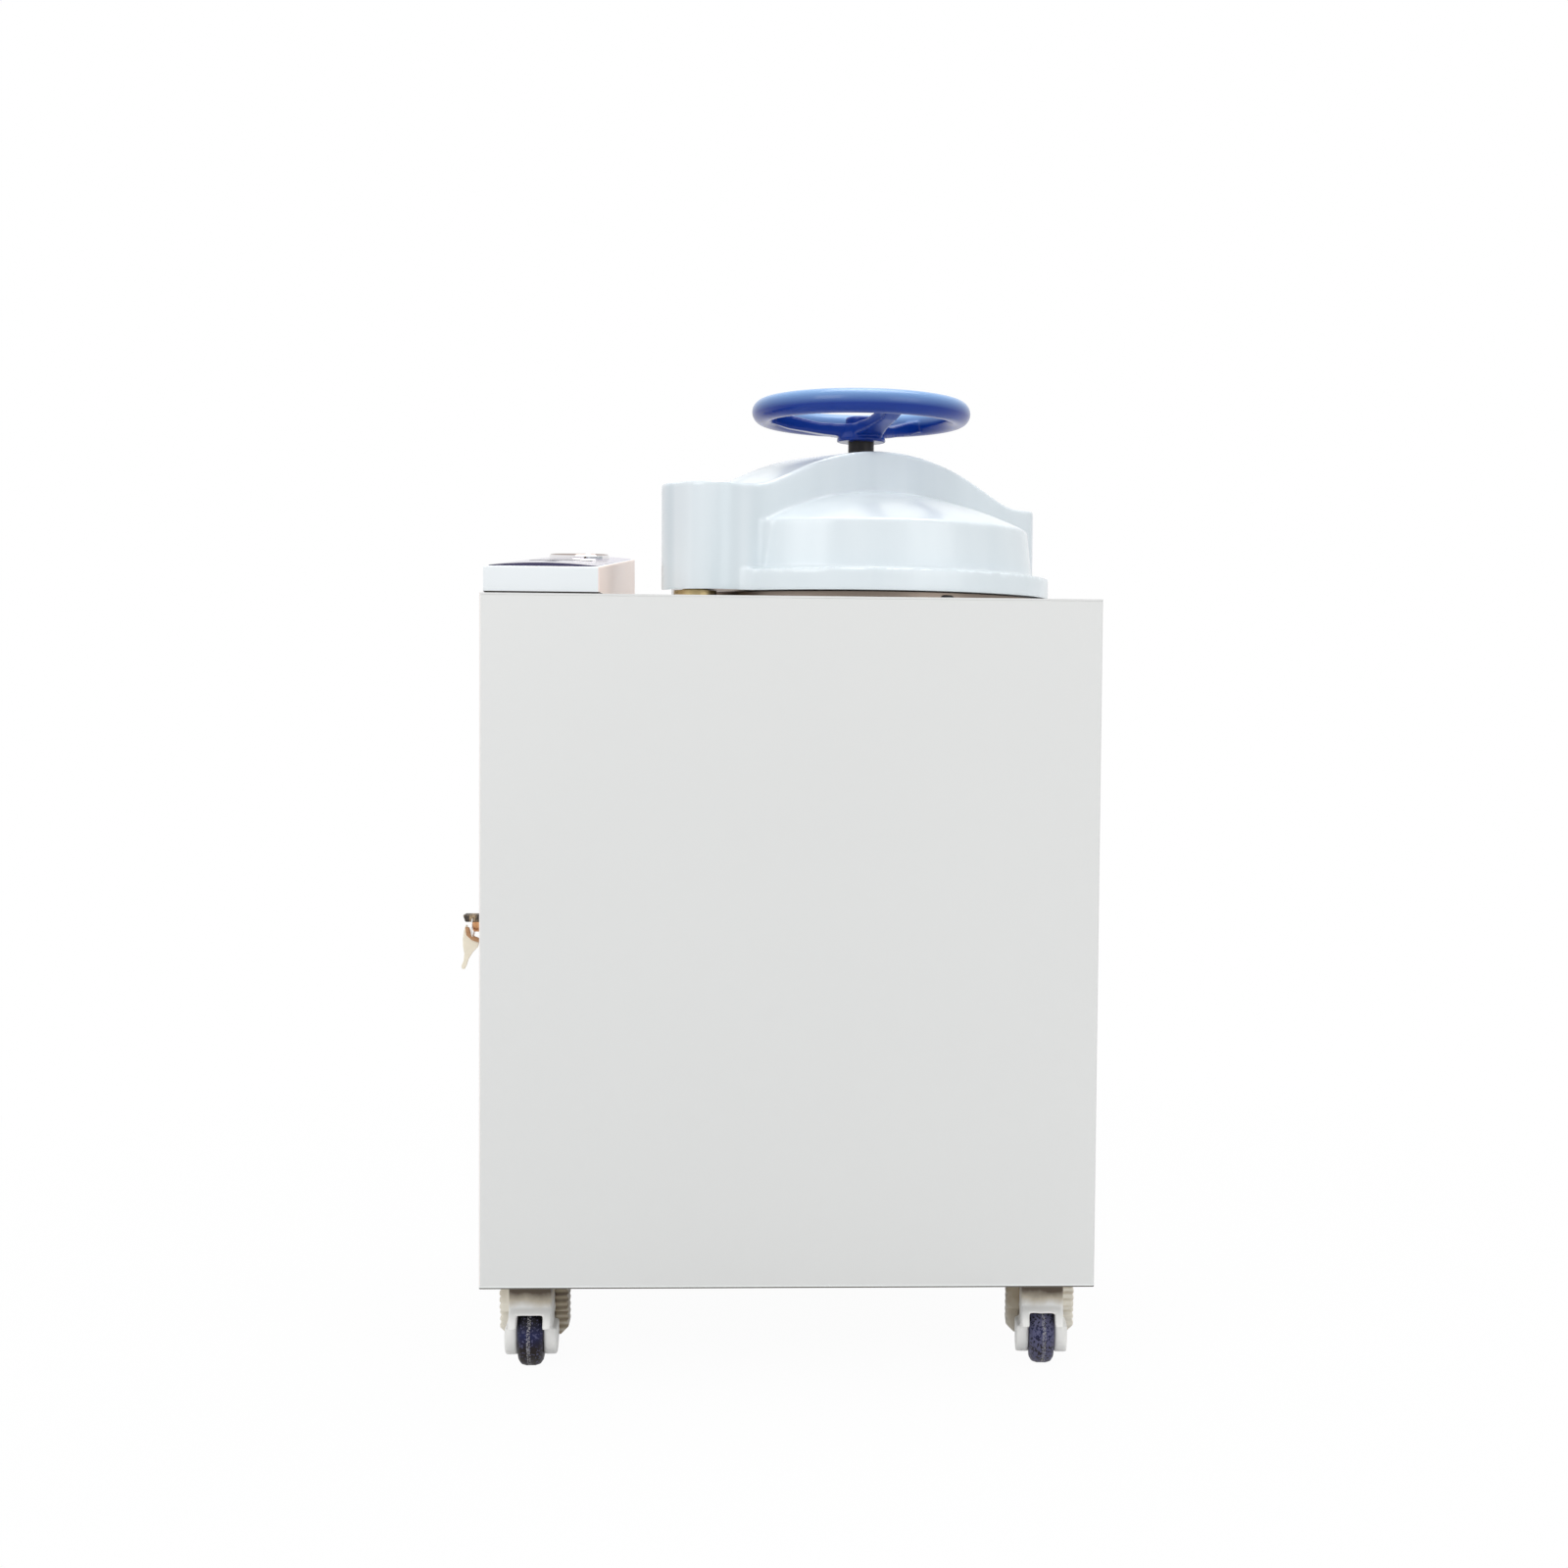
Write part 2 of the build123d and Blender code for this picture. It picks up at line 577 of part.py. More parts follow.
def block_plan(inset):
    half = BLOCK_HALF - inset
    left, right = -(BLOCK_LEFT - inset), BLOCK_RIGHT - inset
    body = Pos((left + right) / 2, 0) * Rectangle(right - left, 2 * half)
    body = fillet([v for v in body.vertices() if v.X > 0], BLOCK_RIGHT_R - inset)
    return fillet(body.vertices().sort_by(Axis.X)[:2], BLOCK_LEFT_R - inset)


def inside_corners(r_disc, half, radius):
    """Rounded fillings of the four inside corners between the disc and the block, in plan."""
    a = sqrt((r_disc + radius) ** 2 - (half + radius) ** 2)
    b = half + radius
    share = r_disc / (r_disc + radius)
    filling = Polygon((a, half - 1), (a, b), (a * share, b * share), (a * share * 0.9, half - 1), align=None)
    filling -= Pos(a, b) * Circle(radius + CORNER_EASE)
    both = filling + mirror(filling, Plane.XZ)
    return both + mirror(both, Plane.YZ)


def cover_form(inset):
    """The cover's outer form, or with an inset the space inside it, in beam coordinates."""
    half = BLOCK_HALF - inset
    z0 = COVER_Z - (1 if inset else 0)
    skirt_top = COVER_Z + SKIRT_H - inset
    shoulder = TOP + SHOULDER_H - inset
    corner = CORNER_R + inset
    plan = Circle(SKIRT_R - inset) + block_plan(inset) + inside_corners(SKIRT_R - inset, half, corner)
    skirt = Pos(0, 0, z0) * extrude(plan, skirt_top - z0)
    inner_plan = Circle(DRUM_R1 - inset - DRUM_SINK) + block_plan(inset)
    inner_plan += inside_corners(DRUM_R1 - inset, half, corner)
    drum = Pos(0, 0, z0) * extrude(inner_plan, shoulder - z0)
    wall = turned((0, z0), (DRUM_R0 - inset, z0), (DRUM_R0 - inset, skirt_top), (DRUM_R1 - inset, shoulder),
                  (0, shoulder))
    dome_top = TOP + DOME_H - inset
    rise = dome_top - shoulder
    r = DRUM_R1 - inset
    cap_r = (r ** 2 + rise ** 2) / (2 * rise)
    mid_r = r * 0.5
    mid = (mid_r, 0, dome_top - cap_r + sqrt(cap_r ** 2 - mid_r ** 2))
    arc = ThreePointArc((r, 0, shoulder), mid, (0, 0, dome_top))
    dome = revolve(make_face([arc, Polyline((0, 0, dome_top), (0, 0, shoulder), (r, 0, shoulder))]), Axis.Z)
    upright = Pos(0, half, 0) * extrude(block_top(inset), 2 * half, dir=(0, -1, 0))
    tall = Pos(0, 0, z0) * extrude(block_plan(inset), TOP + CROWN_H - z0)
    ridge = upright & tall
    ridge = fillet(top_edges(ridge), BLOCK_EDGE_R - inset)
    return skirt + drum + wall + dome + ridge


def top_edges(ridge):
    """The edges all round the ridge's top, without the seams across it."""
    floor = TOP + BLOCK_H - 2 * COVER_T
    ends = ridge.bounding_box()
    return [e for e in ridge.edges()
            if e.bounding_box().min.Z > floor
            and (abs(e.center().Y) > 1 or not ends.min.X + 1 < e.center().X < ends.max.X - 1)]


def lid_cover():
    cover = cover_form(0) - cover_form(COVER_T)
    cover -= Pos(0, 0, TOP + CROWN_H) * Cylinder(SPINDLE_R + 10 * FIT, 20 * COVER_T)
    head_top = TOP + BEAM_Z + BEAM_T + CATCH_HEAD_H + 6
    a0, a1 = CATCH_A - CATCH_HEAD_R - 1, CATCH_A + CATCH_HEAD_R + 8
    cover -= block(a0, a1, BLOCK_HALF - 30, BLOCK_HALF + 30, COVER_Z - 2, head_top)
    return at_beam(0, 0) * cover


def hump_z(a):
    """Height of the cover's block at a place along the beam."""
    rise = CROWN_H - BLOCK_H
    slope = slope_for(rise, CROWN_R, HOLLOW_R)
    run = hump_run(rise, CROWN_R, HOLLOW_R, slope)
    a = abs(a - CROWN_A)
    if a >= run:
        return TOP + BLOCK_H
    if a > run - HOLLOW_R * sin(slope):
        return TOP + BLOCK_H + HOLLOW_R - sqrt(HOLLOW_R ** 2 - (run - a) ** 2)
    if a > CROWN_R * sin(slope):
        return TOP + BLOCK_H + HOLLOW_R * (1 - cos(slope)) + (run - HOLLOW_R * sin(slope) - a) * tan(slope)
    return TOP + CROWN_H - CROWN_R + sqrt(CROWN_R ** 2 - a ** 2)


# Beam, posts and pressure lid

def lid_beam():
    """Cranked steel beam: hub on the hinge pillar, nut seat in the middle, open slot at the catch."""
    z0 = TOP + BEAM_Z
    left = CATCH_A - SLOT_HALF - JAW_T
    flat, rise_end = 150.0, 90.0
    z1 = z0 + BEAM_T
    high, high_top = z0 + BEAM_CRANK, z1 + BEAM_CRANK + 4
    under = [(left, z0), (-flat, z0), (-rise_end, high), (rise_end, high), (flat, z0), (HINGE_A, z0)]
    over = [(HINGE_A, z1), (flat + 10, z1), (rise_end + 5, high_top)]
    over += [(-rise_end - 5, high_top), (-flat - 10, z1), (left, z1)]
    outline = Polyline(*[(a, 0, z) for a, z in under + over], close=True)
    beam = Pos(0, BEAM_HALF, 0) * extrude(make_face(outline), 2 * BEAM_HALF, dir=(0, -1, 0))
    nose = left + BEAM_HALF
    plan = Pos(nose, 0) * Circle(BEAM_HALF)
    plan += Pos((nose + HINGE_A) / 2, 0) * Rectangle(HINGE_A - nose, 2 * BEAM_HALF)
    beam &= Pos(0, 0, TOP) * extrude(plan, 2 * CROWN_H)
    beam += Pos(HINGE_A, 0, (HUB_Z + z0 + BEAM_T) / 2) * Cylinder(HUB_R, z0 + BEAM_T - HUB_Z)
    for a in (CATCH_A + STUD_IN[0], HINGE_A - STUD_IN[1]):
        stud_top = min(hump_z(a - STUD_R), hump_z(a + STUD_R)) - COVER_T - FIT
        beam += Pos(a, 0, (z0 + stud_top) / 2) * Cylinder(STUD_R, stud_top - z0)
    beam -= Pos(HINGE_A, 0, TOP) * Cylinder(PILLAR_R + RUN, 2 * CROWN_H)
    beam -= Pos(0, 0, TOP) * Cylinder(NUT_R + SEAT, 2 * CROWN_H)
    slot = Pos(CATCH_A, BEAM_HALF, TOP + BEAM_Z) * Box(2 * SLOT_HALF, 2 * BEAM_HALF, 4 * BEAM_T)
    slot += Pos(CATCH_A, 0, TOP + BEAM_Z) * Cylinder(SLOT_HALF, 4 * BEAM_T)
    return at_beam(0, 0) * (beam - slot)


def hinge_pillar():
    top = TOP + BEAM_Z + BEAM_T + 6
    foot = PLATE_BOTTOM - DECK_RING_T
    pillar = at_beam(HINGE_A, 0, (foot + top) / 2) * Cylinder(PILLAR_R, top - foot)
    pillar += at_beam(HINGE_A, 0, (TOP + HUB_Z - FIT) / 2) * Cylinder(PILLAR_COLLAR_R, HUB_Z - FIT - TOP)
    return pillar


def catch_post():
    """Post with a mushroom head that the beam's open slot hooks under."""
    neck_top = TOP + BEAM_Z + BEAM_T + 2 * FIT
    z0 = PLATE_BOTTOM - DECK_RING_T
    stem = at_beam(CATCH_A, 0, (z0 + neck_top) / 2) * Cylinder(CATCH_NECK_R, neck_top - z0)
    collar = at_beam(CATCH_A, 0, TOP + FLANGE_H / 2) * Cylinder(CATCH_COLLAR_R, FLANGE_H)
    head = Cylinder(CATCH_HEAD_R, CATCH_HEAD_H)
    head = chamfer(head.edges().sort_by(Axis.Z)[-1], 3)
    return stem + collar + at_beam(CATCH_A, 0, neck_top + CATCH_HEAD_H / 2) * head


def pressure_lid():
    """Dished lid with a seal groove under its rim and a thrust boss on top."""
    z0 = LID_Z
    z1 = z0 + LID_RIM_T
    r_dish = LID_R - LID_RIM_W
    rise = LID_RISE
    cap = (r_dish ** 2 + rise ** 2) / (2 * rise)

    def shell_point(r, offset):
        return (r, 0, z0 + rise - cap + sqrt((cap + offset) ** 2 - r ** 2))

    outer = ThreePointArc(*[shell_point(r, LID_SHELL) for r in (0, r_dish / 2, r_dish)])
    inner = ThreePointArc(*[shell_point(r, 0) for r in (r_dish, r_dish / 2, 0)])
    face = make_face([outer, Line(outer @ 1, inner @ 0), inner, Line(inner @ 1, outer @ 0)])
    lid = revolve(face, Axis.Z)
    lid += ring(0, 0, r_dish - 1, LID_R, z0, z1)
    lid -= ring(0, 0, SEAL_R - SEAL_W / 2, SEAL_R + SEAL_W / 2, z0 - 1, z0 + SEAL_GROOVE)
    boss_top = z0 + BOSS_H
    lid += post(0, 0, BOSS_R, z0 + rise, boss_top)
    lid -= post(0, 0, SPINDLE_R + SEAT, boss_top - 14, boss_top + 1)
    return at_beam(0, 0) * lid


def lid_gasket():
    half = SEAL_W / 2 - SEAT
    return at_beam(0, 0) * ring(0, 0, SEAL_R - half, SEAL_R + half, LID_Z - SEAL_PROUD, LID_Z + SEAL_GROOVE)


def spindle_nut():
    z0 = TOP + BEAM_Z + BEAM_CRANK
    z1 = z0 + BEAM_T + 4
    nut = ring(0, 0, SPINDLE_R + FIT, NUT_R, z0, z1)
    nut += ring(0, 0, SPINDLE_R + FIT, NUT_FLANGE_R, z1, z1 + NUT_FLANGE_T)
    return at_beam(0, 0) * nut


def spindle():
    z0 = LID_Z + BOSS_H - 14 + FIT
    z1 = WHEEL_HUB_Z + WHEEL_HUB_H
    return at_beam(0, 0) * post(0, 0, SPINDLE_R, z0, z1)


# Handwheel

def handwheel():
    wheel = Pos(0, 0, WHEEL_Z) * Torus(WHEEL_RIM_R, WHEEL_TUBE_R)
    z0 = WHEEL_HUB_Z
    hub = turned((0, z0), (WHEEL_HUB_R, z0), (WHEEL_HUB_R, z0 + 3), (WHEEL_HUB_R - 3, z0 + 8),
                 (WHEEL_HUB_R - 4, z0 + WHEEL_HUB_H), (0, z0 + WHEEL_HUB_H))
    wheel += hub
    for angle in SPOKE_AT:
        side = make_face(Polyline((8, 0, z0 + 4), (38, 0, z0 + 8), (WHEEL_RIM_R - 6, 0, WHEEL_Z - 9),
                                  (WHEEL_RIM_R - 4, 0, WHEEL_Z + 4), (44, 0, z0 + WHEEL_HUB_H + 2),
                                  (WHEEL_HUB_R - 4, 0, z0 + WHEEL_HUB_H), (8, 0, z0 + WHEEL_HUB_H),
                                  close=True))
        arm = Pos(0, SPOKE_W0, 0) * extrude(side, 2 * SPOKE_W0, dir=(0, -1, 0))
        foot, tip = SPOKE_W0 / 2, SPOKE_W1 / 2
        half = [(0, foot + 4), (WHEEL_HUB_R, foot), (70, tip), (WHEEL_RIM_R, tip)]
        plan = make_face(Polyline(*half, *[(r, -w) for r, w in reversed(half)], close=True))
        arm = arm & (Pos(0, 0, z0) * extrude(plan, WHEEL_Z))
        wheel += Rot(0, 0, angle) * arm
    wheel -= post(0, 0, SPINDLE_R + SEAT, z0 - 1, z0 + WHEEL_HUB_H + 1)
    return Pos(CH_X, CH_Y, 0) * wheel


def wheel_cap():
    cap = post(0, 0, SPINDLE_R + 3, WHEEL_HUB_Z + WHEEL_HUB_H, WHEEL_HUB_Z + WHEEL_HUB_H + 8)
    cap = fillet(cap.edges().sort_by(Axis.Z)[-1], 3)
    return Pos(CH_X, CH_Y, 0) * cap


# Service door and lock

def service_door():
    z0, z1 = TRAY_TOP + DOOR_END_GAP, PLATE_BOTTOM - DOOR_END_GAP
    y0, y1 = Y0 + RETURN_D + DOOR_GAP, Y1 - RETURN_D - DOOR_GAP
    door = block(X0, X0 + DOOR_DEPTH, y0, y1, z0, z1)
    door -= block(X0 + SHEET, X0 + 2 * DOOR_DEPTH, y0 + SHEET, y1 - SHEET, z0 + SHEET, z1 - SHEET)
    door -= rod_x(X0 - 5, X0 + 5, LOCK_Y, LOCK_Z, LOCK_R + SEAT)
    door -= block(X0 + SHEET + 1, X0 + 2 * DOOR_DEPTH, y0 - 1, y0 + 2 * SHEET, LOCK_Z - CAM_REACH / 2,
                  LOCK_Z + CAM_REACH)
    door += post(DOOR_AXIS_X, DOOR_AXIS_Y, DOOR_PIN_R, TOP - DECK_T - DOOR_END_GAP - SHEET, TOP - FIT)
    door += post(DOOR_AXIS_X, DOOR_AXIS_Y, DOOR_PIN_R, BOTTOM + FIT, TRAY_TOP + DOOR_END_GAP + SHEET)
    return door


def lock_body():
    shell = rod_x(X0 - LOCK_OUT, X0 + 5, LOCK_Y, LOCK_Z, LOCK_R)
    shell += rod_x(X0 + SHEET, X0 + 4.2, LOCK_Y, LOCK_Z, LOCK_R + 3)
    shell -= rod_x(X0 - 2 * LOCK_OUT, X0 + 10, LOCK_Y, LOCK_Z, PLUG_R + RUN)
    return shell


def lock_key():
    """Plug with its cam, and the key left in it with a flat moulded bow."""
    plug = rod_x(X0 - LOCK_OUT, X0 + 7.3, LOCK_Y, LOCK_Z, PLUG_R)
    cam = block(X0 + 5.3, X0 + 6.8, LOCK_Y - 4, LOCK_Y + 4, LOCK_Z - 5, LOCK_Z + CAM_REACH)
    bow_x = X0 - KEY_OUT + BOW_R
    bow_z = LOCK_Z
    bow = post(bow_x, LOCK_Y, BOW_R, bow_z - KEY_T / 2, bow_z + KEY_T / 2)
    face = X0 - LOCK_OUT
    wide = 2 * BOW_R
    bow &= block(bow_x - wide, face, LOCK_Y - wide, LOCK_Y + wide, bow_z - KEY_T, bow_z + KEY_T)
    bow += block(face - 3, face, LOCK_Y - 4, LOCK_Y + 4, bow_z - KEY_T / 2, bow_z + KEY_T / 2)
    eye = Pos(KEY_EYE_X, LOCK_Y - 1, bow_z) * Box(4.0, 9.0, 3 * KEY_T)
    return (plug + cam + bow) - eye


def key_ring():
    return Pos(KEY_EYE_X, RING_Y, RING_Z) * Rot(0, 90, 0) * Torus(RING_R, RING_WIRE)


def spare_key():
    """Second key, hanging from the ring with its flat side to the front."""
    bow = Cylinder(BOW_R, 2.0)
    blade = Pos(0, -SPARE_KEY_L / 2, 0) * Box(6.0, SPARE_KEY_L - BOW_R, 2.0)
    key = bow + Pos(0, -4, 0) * blade
    for i in range(4):
        key -= Pos(3.4, -16 - 5 * i, 0) * Rot(0, 0, 45) * Box(1.8, 1.8, 4)
    key -= Pos(0, BOW_R - 4, 0) * Cylinder(2.6, 4)
    key = Pos(0, -(BOW_R - 4), 0) * key
    upright = Rot(90, 0, 0) * key
    return Pos(KEY_EYE_X, RING_Y, SPARE_Z) * Rot(0, SPARE_KEY_LEAN, 0) * upright


# Control strip

def strip_side(inset, drop=0.0):
    lean = STRIP_Y1 - STRIP_TOP_Y1
    return make_face(Polyline((0, STRIP_Y0 + inset, TOP + drop), (0, STRIP_Y1 - inset, TOP + drop),
                              (0, STRIP_Y1 - lean - inset, TOP + STRIP_H1 - inset),
                              (0, STRIP_Y0 + inset, TOP + STRIP_H0 - inset), close=True))


def control_housing():
    shell = Pos(STRIP_X0, 0, 0) * extrude(strip_side(0, STRIP_FOOT), STRIP_W, dir=(1, 0, 0))
    top_face = shell.faces().filter_by(lambda f: f.normal_at().Z > 0.9).sort_by(Axis.Z)[-1]
    shell = fillet(top_face.edges(), 2.0)
    shell += Pos(STRIP_X0 + 1, 0, 0) * extrude(strip_side(1), STRIP_W - 2, dir=(1, 0, 0))
    shell -= Pos(STRIP_X0 + STRIP_WALL, 0, 0) * extrude(strip_side(STRIP_WALL, -1), STRIP_W - 2 * STRIP_WALL,
                                                       dir=(1, 0, 0))
    shell -= on_strip(STRIP_MID, GAUGE_Y) * Cylinder(GAUGE_R + SEAT, 20)
    for y in BUTTON_Y:
        shell -= on_strip(STRIP_MID, y) * Cylinder(BUTTON_R + FIT, 20)
    return shell


def control_overlay():
    length = hypot(STRIP_TOP_Y1 - STRIP_Y0, STRIP_H1 - STRIP_H0) - 2 * OVERLAY_INSET
    middle = (STRIP_Y0 + STRIP_TOP_Y1) / 2
    sheet = RectangleRounded(STRIP_W - 2 * OVERLAY_INSET, length, 5.0)
    plate = on_strip(STRIP_MID, middle) * extrude(sheet, OVERLAY_T)
    plate -= on_strip(STRIP_MID, GAUGE_Y) * Cylinder(BEZEL_R + FIT, 6)
    for y in BUTTON_Y:
        plate -= on_strip(STRIP_MID, y) * Cylinder(BUTTON_R + FIT, 6)
    plate -= on_strip(STRIP_MID, SCREEN_Y) * Pos(0, 0, OVERLAY_T) * Box(SCREEN_W, SCREEN_L, OVERLAY_T)
    return plate


def gauge_case():
    case = turned((0, -GAUGE_D), (GAUGE_R, -GAUGE_D), (GAUGE_R, 0), (BEZEL_R, 0), (BEZEL_R, BEZEL_H - 2),
                  (BEZEL_R - 2, BEZEL_H), (BEZEL_R - 4, BEZEL_H), (BEZEL_R - 5, BEZEL_H - 2.2),
                  (BEZEL_R - 5, 1.0),
                  (DIAL_PIN_R, 1.0), (DIAL_PIN_R, 3.3), (0, 3.3))
    case -= ring(0, 0, 1, BEZEL_R - 3.5, BEZEL_H - 2.0 - GLASS_T, BEZEL_H - 2.0)
    return on_strip(STRIP_MID, GAUGE_Y) * case


def gauge_glass():
    z0 = BEZEL_H - 2.0 - GLASS_T
    return on_strip(STRIP_MID, GAUGE_Y) * post(0, 0, BEZEL_R - 3.5 - SEAT, z0, z0 + GLASS_T)


def gauge_pointer():
    """Needle on its spindle, resting on the zero mark at the lower left of the dial."""
    hub = ring(0, 0, DIAL_PIN_R + RUN, 3.2, 1.7, 3.2)
    needle = make_face(Polyline((2.2, -1.2), (23.0, -0.35), (23.0, 0.35), (2.2, 1.2), close=True))
    tail = make_face(Polyline((-2.2, -1.2), (-8.0, -1.6), (-8.0, 1.6), (-2.2, 1.2), close=True))
    arms = Pos(0, 0, 2.2) * (extrude(needle, 0.7) + extrude(tail, 0.7))
    return on_strip(STRIP_MID, GAUGE_Y) * Rot(0, 0, 225) * (hub + arms)


def button(y):
    cap = Cylinder(BUTTON_R, 5.0)
    cap = fillet(cap.edges().sort_by(Axis.Z)[-1], 1.0)
    return on_strip(STRIP_MID, y) * Pos(0, 0, -0.4) * cap


# Services

def safety_x():
    return CH_X + (CH_OUT + SAFETY_OFF) * cos(radians(SAFETY_AT))


def safety_y():
    return CH_Y + (CH_OUT + SAFETY_OFF) * sin(radians(SAFETY_AT))


def tube(points, radius, bend):
    """Bent tube: straight runs joined by arcs of one bend radius."""
    path = FilletPolyline(*points, radius=bend)
    start = Plane(origin=path @ 0, z_dir=path % 0)
    return sweep(start * Circle(radius), path)


def pipework():
    valve_in, valve_out = VALVE_X + VALVE_L / 2, VALVE_X - VALVE_L / 2
    drain_top = CH_FLOOR - CH_WALL - SEAT
    pieces = [tube([(CH_X, CH_Y, drain_top), (CH_X, CH_Y, DRAIN_Z), (valve_in, CH_Y, DRAIN_Z)], DRAIN_R, 24)]
    outlet = tube([(valve_out, CH_Y, DRAIN_Z), (DRAIN_X, CH_Y, DRAIN_Z), (DRAIN_X, Y1, DRAIN_Z)], DRAIN_R, 22)
    pieces.append(outlet + rod_y(DRAIN_X, Y1, Y1 + SPIGOT_OUT, DRAIN_Z, DRAIN_R + SPIGOT_GROW))
    stub_x = CH_X - CH_OUT - FIT
    pieces.append(rod_x(SOLENOID_X + 18, stub_x, CH_Y, STEAM_Z, STEAM_R))
    exhaust = [(SOLENOID_X - 18, CH_Y, STEAM_Z), (EXHAUST_X, CH_Y, STEAM_Z), (EXHAUST_X, EXHAUST_Y, STEAM_Z),
               (EXHAUST_X, EXHAUST_Y, TRAY_TOP + BOTTLE_H + 22)]
    pieces.append(tube(exhaust, STEAM_R, 18))
    vent = rod_y(safety_x(), safety_y() + SAFETY_R, Y1, STEAM_Z, STEAM_R)
    pieces.append(vent + rod_y(safety_x(), Y1, Y1 + SPIGOT_OUT, STEAM_Z, STEAM_R + SPIGOT_GROW))
    stub = SAFETY_OFF - SAFETY_R - FIT - 2
    radial = Pos(CH_X, CH_Y, STEAM_Z) * Rot(0, 0, SAFETY_AT) * Pos(CH_OUT + FIT + stub / 2, 0, 0)
    pieces.append(radial * Rot(0, 90, 0) * Cylinder(STEAM_R, stub))
    return pieces


def drain_valve():
    body = rod_x(VALVE_X - VALVE_L / 2, VALVE_X + VALVE_L / 2, CH_Y, DRAIN_Z, VALVE_R)
    body -= Pos(VALVE_X, CH_Y, DRAIN_Z) * Box(VALVE_L + 2, 2 * (DRAIN_R - 3), 2 * (DRAIN_R - 3))
    body += post(VALVE_X, CH_Y, 7, DRAIN_Z + VALVE_R - 3, DRAIN_Z + VALVE_R + 5)
    body += post(VALVE_X, CH_Y, 3, DRAIN_Z + VALVE_R + 5, DRAIN_Z + VALVE_R + 12)
    return body


def drain_lever():
    """Flat lever across the pipe when the valve is closed."""
    z0 = DRAIN_Z + VALVE_R + 5 + FIT
    lever = block(VALVE_X - 7, VALVE_X + 7, CH_Y - LEVER_L, CH_Y + 8, z0, z0 + 4)
    grip = block(VALVE_X - 8, VALVE_X + 8, CH_Y - LEVER_L - 2, CH_Y - LEVER_L * 0.45, z0 - 1.5, z0 + 5.5)
    lever += fillet(grip.edges().filter_by(Axis.Y), 2.5)
    return lever - post(VALVE_X, CH_Y, 3 + RUN, z0 - 1, z0 + 6)


def solenoid_valve():
    body = Pos(SOLENOID_X, CH_Y, STEAM_Z) * Box(36, 26, 24)
    coil = post(SOLENOID_X, CH_Y, 14, STEAM_Z - 52, STEAM_Z - 12)
    coil += Pos(SOLENOID_X - 4, CH_Y - 18, STEAM_Z - 34) * Box(20, 12, 18)
    return body + coil


def safety_valve():
    x, y = safety_x(), safety_y()
    body = post(x, y, SAFETY_R, STEAM_Z - 40, STEAM_Z + 12)
    body += post(x, y, 8, STEAM_Z - 56, STEAM_Z - 40)
    inlet = Rot(0, 0, SAFETY_AT) * Pos(CH_OUT + SAFETY_OFF - SAFETY_R, 0, 0) * Rot(0, 90, 0) * Cylinder(9, 4)
    return body + Pos(CH_X, CH_Y, STEAM_Z) * inlet


def collecting_bottle():
    x0, y0 = EXHAUST_X - BOTTLE_W * 0.42, EXHAUST_Y - BOTTLE_D / 2
    body = block(x0, x0 + BOTTLE_W, y0, y0 + BOTTLE_D, TRAY_TOP, TRAY_TOP + BOTTLE_H)
    body = fillet(body.edges().filter_by(Axis.Z), 14)
    body = fillet(body.edges().group_by(Axis.Z)[-1], 6)
    cap = post(EXHAUST_X, EXHAUST_Y, NECK_R, TRAY_TOP + BOTTLE_H, TRAY_TOP + BOTTLE_H + 22)
    return body + cap


def controller_board():
    """Circuit board on four stand-offs, with a shield and three components."""
    y0 = IN_Y1 - BOARD_STANDOFF
    x1 = BOARD_X + BOARD_W
    top = BOARD_Z + BOARD_H
    plate = block(BOARD_X, x1, y0, y0 + BOARD_T, BOARD_Z, top)
    for x in (POST_X0 + POST + BOARD_EDGE, x1 - BOARD_EDGE):
        for z in (BOARD_Z + BOARD_EDGE, top - BOARD_EDGE):
            plate += rod_y(x, y0 + BOARD_T, Y1 - SHEET, z, BOARD_EDGE / 2)
    shield_y = y0 - BOARD_EDGE
    plate += block(BOARD_X + BOARD_EDGE, x1 - BOARD_EDGE, shield_y, y0, BOARD_Z + SHIELD_Z, top - BOARD_EDGE)
    x, z = BOARD_X + 2 * BOARD_EDGE, BOARD_Z + SHIELD_Z + 2 * BOARD_EDGE
    for width, height in COMPONENTS:
        plate += block(x, x + width, shield_y - COMPONENT_D, shield_y, z, z + height)
        x += width + BOARD_EDGE / 2
    return plate


def breaker_body():
    y0 = IN_Y1 - BOARD_STANDOFF
    body = block(BOARD_X + 30, BOARD_X + 66, y0 - 50, y0, BOARD_Z + 10, BOARD_Z + 92)
    body += block(BOARD_X + 30, BOARD_X + 66, y0 - 58, y0 - 50, BOARD_Z + 30, BOARD_Z + 72)
    body -= block(BOARD_X + 40, BOARD_X + 56, y0 - 60, y0 - 40, BOARD_Z + 36, BOARD_Z + 66)
    return body + rod_x(BOARD_X + 39, BOARD_X + 57, TOGGLE_Y, TOGGLE_Z, 2)


def breaker_toggle():
    """Rocking toggle on a cross pin, tipped down at rest."""
    rocker = rod_x(BOARD_X + 40 + FIT, BOARD_X + 56 - FIT, TOGGLE_Y, TOGGLE_Z, 6)
    arm = Pos((BOARD_X * 2 + 96) / 2, TOGGLE_Y - 9, TOGGLE_Z) * Box(12, 14, 6)
    rocker += Pos(0, TOGGLE_Y, TOGGLE_Z) * Rot(25, 0, 0) * Pos(0, -TOGGLE_Y, -TOGGLE_Z) * arm
    return rocker - rod_x(BOARD_X, BOARD_X + 100, TOGGLE_Y, TOGGLE_Z, 2 + RUN)


